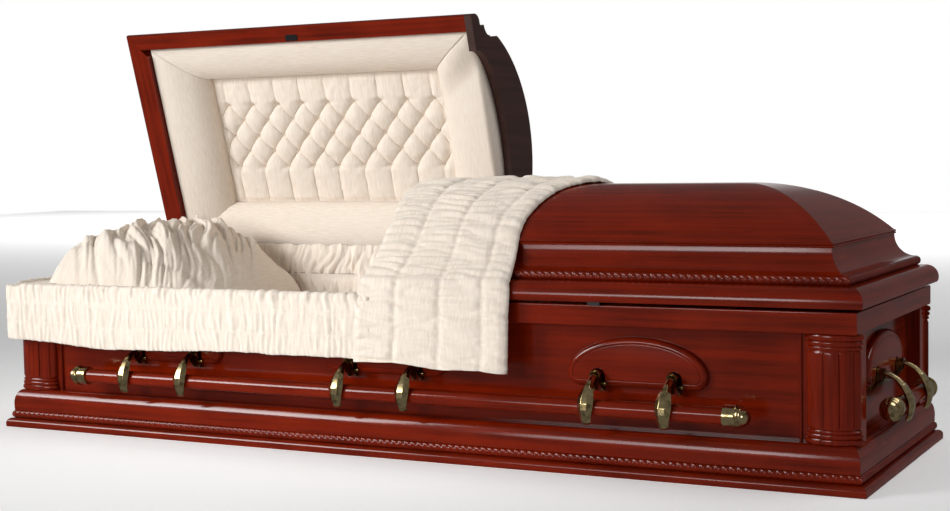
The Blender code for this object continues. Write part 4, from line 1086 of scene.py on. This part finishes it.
class BuildLids(bpy.types.Operator):
    """Rims, ropes, crowns and parting boards of both lids"""

    bl_idname = "casket.build_lids"
    bl_label = "Lids"

    def execute(self, context):
        sizes = context.scene.casket_sizes
        wood = material("lacquered_mahogany")
        for body, sign, end in (("head_lid", -1, "head"), ("foot_lid", 1, "foot")):
            turn = opened if sign < 0 else (lambda points: points)
            span = tuple(sorted((sign * LID_CUT, sign * 2.0)))
            for side, name in (("front", "front"), ("back", "back"), (end, "end")):
                cut = None if side == end else span
                points = run(side, rim_profile(LID_FRONT_INNER if side == "front" else RIM_INNER), cut)
                made = tubed(turn(points)).build(f"{body}_frame_{name}", wood)
                piece(made, body, "stained_wood", f"{body}_rim_{name}")
                carved = gridded(turn(rope(side, LID_ROPE, cut, sizes.rope_pitch, sizes.rope_depth)))
                piece(carved.build(f"{body}_rope_{name}", wood, 75), body, "stained_wood")
            dome = crown(sign)
            dome.points = [turn(p) for p in dome.points]
            piece(dome.build(f"{body}_dome", wood, 24), body, "stained_wood", f"{body}_crown")
            board = header(sign * HEADER_NEAR, sign * HEADER_FAR)
            board.points = [turn(p) for p in board.points]
            made = board.build(f"{body}_board", material("matt_parting_board"))
            piece(made, body, "plain_wood", f"{body}_header")
        return {"FINISHED"}


class BuildHandles(bpy.types.Operator):
    """Plaques, lugs, and the four handles with their arms and tips"""

    bl_idname = "casket.build_handles"
    bl_label = "Handles"

    def execute(self, context):
        blank = plaque_mesh(material("mahogany_panel"))
        for name, place, turn in stations():
            mesh = blank.copy()
            mesh.transform(Matrix.Translation(place) @ Matrix.Rotation(turn, 4, "Z"))
            paint = "mahogany_cross_panel" if name.startswith("end") else "mahogany_panel"
            made = link(f"plaque_{name}", mesh, material(paint), 40)
            piece(made, "casket_box", "stained_wood", f"handle_plaque_{name}")
            # The lugs take the darker brass, which is painted shade of the notches
            shade_darkened_brass = material("notch_shaded_brass")
            made = lugs(place, turn, name.startswith("end")).build(f"lugs_{name}", shade_darkened_brass)
            piece(made, "casket_box", "antique_brass", f"handle_bracket_{name}")
        side_out, end_out = HALF_W - PANEL_INSET + PIVOT_OUT, HALF_L - PANEL_INSET + PIVOT_OUT
        long_arms = [c + s * ARM_HALF_PITCH for c in (-HANDLE_PITCH, 0, HANDLE_PITCH) for s in (-1, 1)]
        short_arms = [-ARM_HALF_PITCH, ARM_HALF_PITCH]
        for body, place, turn, arms, bar in (
            ("handle_front", (0, -side_out, PIVOT_HEIGHT), 0.0, long_arms, LONG_BAR),
            ("handle_back", (0, side_out, PIVOT_HEIGHT), math.pi, long_arms, LONG_BAR),
            ("handle_foot", (end_out, 0, PIVOT_HEIGHT), math.pi / 2, short_arms, SHORT_BAR),
            ("handle_head", (-end_out, 0, PIVOT_HEIGHT), -math.pi / 2, short_arms, SHORT_BAR),
        ):
            self.build_one(body, place, turn, arms, bar / 2)
        return {"FINISHED"}

    def build_one(self, body, place, turn, arms, half):
        centre = np.array([0, -(BAR_OUT - PIVOT_OUT), -BAR_DROP])
        inner = half - TIP_LENGTH
        rod = Shape()
        end = inner + 0.004
        points = turned(line((-end, 0), (-end, BAR_RADIUS), (end, BAR_RADIUS), (end, 0)))
        round_bar = np.broadcast_to(np.linspace(0, 0.1, points.shape[1]), points.shape[:2])
        grain = np.stack([points[..., 0], round_bar], -1)
        rod.grid(placed(points + centre, place, turn), grain)
        wood = material("lacquered_mahogany")
        piece(rod.build(f"{body}_bar", wood), body, "stained_wood", body)
        right = turned(tip_profile(half))
        tips = gridded(*[placed(points + centre, place, turn) for points in (right, right * [-1, 1, 1])])
        brass = material("antique_cast_brass")
        piece(tips.build(f"{body}_tips", brass), body, "antique_brass")
        spindles = tubed(*[placed(spindle(x), place, turn) for x in arms])
        made = piece(spindles.build(f"{body}_arms", brass, 12), body, "antique_brass")
        edge = made.modifiers.new("worn_edges", "BEVEL")
        edge.width, edge.segments, edge.limit_method, edge.angle_limit = 0.0007, 2, "ANGLE", math.radians(12)


class BuildCatches(bpy.types.Operator):
    """Black catch and strike in the seam, and the hinges at the back"""

    bl_idname = "casket.build_catches"
    bl_label = "Catches and hinges"

    def execute(self, context):
        for node in ("lid_catch", "head_lid_strike"):
            repaint(node, "black_enamelled_steel")
        for node in ("hinge_head", "hinge_foot"):
            repaint(node, "antique_cast_brass")
        return {"FINISHED"}


class BuildLidLining(bpy.types.Operator):
    """Padded rolls and diamond-tufted panel of the head lid"""

    bl_idname = "casket.build_lid_lining"
    bl_label = "Lid lining"

    def execute(self, context):
        cloth = material("smooth_crepe")
        sides = ("front", "back", "head", "header")
        shape = gridded(*[opened(roll_ring(0.012, 28, side, 110)) for side in sides])
        rolls = thicken(shape.build("lid_rolls", cloth, 50), 0.004)
        piece(rolls, "head_lid", "cream_cloth", "head_lid_rolls")
        shape = gridded(opened(tufted()))
        panel = thicken(shape.build("lid_tufting", material("crepe"), 70, weld=False), 0.004)
        piece(panel, "head_lid", "cream_cloth", "head_lid_tufted_panel")
        return {"FINISHED"}


class BuildBedding(bpy.types.Operator):
    """Bed, inner lining, apron and pillow"""

    bl_idname = "casket.build_bedding"
    bl_label = "Bedding"

    def execute(self, context):
        cloth = material("crepe")
        bed = piece(boxed(*bed_points()).build("bedding", cloth, 60), "casket_box", "cream_cloth", "mattress")
        lining = thicken(gridded(lining_points()).build("wall_lining", cloth, 70), SHEET_WALL, 1.0)
        piece(lining, "casket_box", "cream_cloth", "body_lining")
        apron = thicken(gridded(apron_points()).build("apron", cloth, 70), SHEET_WALL)
        piece(apron, "casket_box", "cream_cloth", "lining_apron")
        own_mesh(apron)
        shape = boxed(*pillow_points(context.scene.casket_sizes.pillow_fold))
        pillow = piece(shape.build("head_pillow", cloth, 80), "casket_box", "cream_cloth", "pillow")
        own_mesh(pillow)
        return {"FINISHED"}


class BuildDraperies(bpy.types.Operator):
    """Gathered valance over the rim and the throw over the foot lid"""

    bl_idname = "casket.build_draperies"
    bl_label = "Draperies"

    def execute(self, context):
        sizes = context.scene.casket_sizes
        cloth = material("crepe")
        shape = gridded(skirt_points(sizes.skirt_fold))
        skirt = thicken(shape.build("valance", cloth, 80, weld=False), 0.0015, 0.0)
        piece(skirt, "casket_box", "cream_cloth", "rim_skirt")
        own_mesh(skirt)
        points, outward = throw_points(sizes.throw_fold)
        shape = boxed(points, points - outward * 0.0035)
        throw = piece(shape.build("lid_throw", cloth, 80), "foot_lid", "cream_cloth", "throw")
        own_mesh(throw)
        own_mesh(throw)
        return {"FINISHED"}


class BuildStage(bpy.types.Operator):
    """Pale floor, soft lights and the camera at the photograph's angle"""

    bl_idname = "casket.build_stage"
    bl_label = "Stage"

    def execute(self, context):
        scene = context.scene
        mesh = bpy.data.meshes.new("floor")
        corners = [(x * FLOOR_HALF, y * FLOOR_HALF, 0) for x, y in ((-1, -1), (1, -1), (1, 1), (-1, 1))]
        mesh.from_pydata(corners, [], [(0, 1, 2, 3)])
        paper, tree, shader = new_material("pale_paper")
        white = linear("FFFFFF")
        feed(tree, shader, {"Base Color": white, "Roughness": 0.9, "Emission Color": white,
                            "Emission Strength": 0.26})
        floor = link("floor", mesh, paper)
        floor.visible_glossy = False
        scene.world = self.surroundings()
        for name, lamp in LAMPS.items():
            self.light(name, *lamp)
        self.camera(scene)
        scene.view_settings.view_transform = "Standard"
        return {"FINISHED"}

    def surroundings(self):
        """A white wall behind the casket and to its left, in a dark room. It goes up to 7 degrees above the
        horizon and fades by 12. The end faces mirror the dark part of the room."""
        world = bpy.data.worlds.new("studio")
        world.use_nodes = True
        tree = world.node_tree
        way = add(tree, "TexCoord").outputs["Generated"]
        parts = add(tree, "SeparateXYZ", {0: way})
        behind = add(tree, "MapRange", {0: parts.outputs[1], 1: 0.15, 2: 0.45})
        low = add(tree, "MapRange", {0: parts.outputs[2], 1: 0.20, 2: 0.12})
        above = add(tree, "MapRange", {0: parts.outputs[2], 1: -0.11, 2: -0.07})
        left = add(tree, "MapRange", {0: parts.outputs[0], 1: 0.10, 2: -0.10})
        band = add(tree, "Math", {0: low.outputs[0], 1: above.outputs[0]}, operation="MULTIPLY")
        corner = add(tree, "Math", {0: behind.outputs[0], 1: left.outputs[0]}, operation="MULTIPLY")
        both = add(tree, "Math", {0: corner.outputs[0], 1: band.outputs[0]}, operation="MULTIPLY")
        strength = add(tree, "MapRange", {0: both.outputs[0], 3: 0.15, 4: 1.0})
        backdrop = tree.nodes["Background"]
        backdrop.inputs["Color"].default_value = (1, 1, 1, 1)
        tree.links.new(strength.outputs[0], backdrop.inputs["Strength"])
        return world

    def light(self, name, place, target, size, power, spread, mirrored):
        lamp = bpy.data.lights.new(name, "AREA")
        lamp.shape, lamp.size, lamp.size_y, lamp.energy = "RECTANGLE", size[0], size[1], power
        lamp.spread = math.radians(spread)
        made = bpy.data.objects.new(name, lamp)
        made.location = place
        made.visible_glossy = mirrored
        made.rotation_euler = (Vector(target) - Vector(place)).to_track_quat("-Z", "Y").to_euler()
        bpy.context.scene.collection.objects.link(made)

    def camera(self, scene):
        """Camera fitted to the photograph: a place, two angles of aim, a roll and a focal length."""
        a, e, roll = (math.radians(v) for v in CAMERA_TURN)
        forward = Vector((-math.sin(a) * math.cos(e), math.cos(a) * math.cos(e), -math.sin(e)))
        right = forward.cross(Vector((0, 0, 1))).normalized()
        up = right.cross(forward)
        turned_right = math.cos(roll) * right + math.sin(roll) * up
        turned_up = -math.sin(roll) * right + math.cos(roll) * up
        lens = bpy.data.cameras.new("view")
        lens.sensor_width, lens.lens = SENSOR, FOCAL_SHARE * SENSOR
        made = bpy.data.objects.new("view", lens)
        axes = Matrix((turned_right, turned_up, -forward)).transposed().to_4x4()
        made.matrix_world = Matrix.Translation(CAMERA_PLACE) @ axes
        scene.collection.objects.link(made)
        scene.camera = made


class CasketPanel(bpy.types.Panel):
    """Lists the steps that build the casket, and its sizes and colours"""

    bl_idname = "CASKET_PT_build"
    bl_label = "Casket"
    bl_space_type = "VIEW_3D"
    bl_region_type = "UI"
    bl_category = "Casket"

    def draw(self, context):
        for step in STEPS:
            self.layout.operator(step.bl_idname)
        for group in (context.scene.casket_sizes, context.scene.casket_colours):
            for name in group.__annotations__:
                self.layout.prop(group, name)


STEPS = (BuildBox, BuildLids, BuildHandles, BuildCatches, BuildLidLining, BuildBedding, BuildDraperies,
         BuildStage)
CLASSES = (CasketColours, CasketSizes, *STEPS, CasketPanel)


def register():
    for made in CLASSES:
        bpy.utils.register_class(made)
    bpy.types.Scene.casket_colours = bpy.props.PointerProperty(type=CasketColours)
    bpy.types.Scene.casket_sizes = bpy.props.PointerProperty(type=CasketSizes)


def unregister():
    del bpy.types.Scene.casket_sizes
    del bpy.types.Scene.casket_colours
    for made in reversed(CLASSES):
        bpy.utils.unregister_class(made)


def main():
    register()
    for step in STEPS:
        group, name = step.bl_idname.split(".")
        getattr(getattr(bpy.ops, group), name)()


if __name__ == "__main__":
    main()
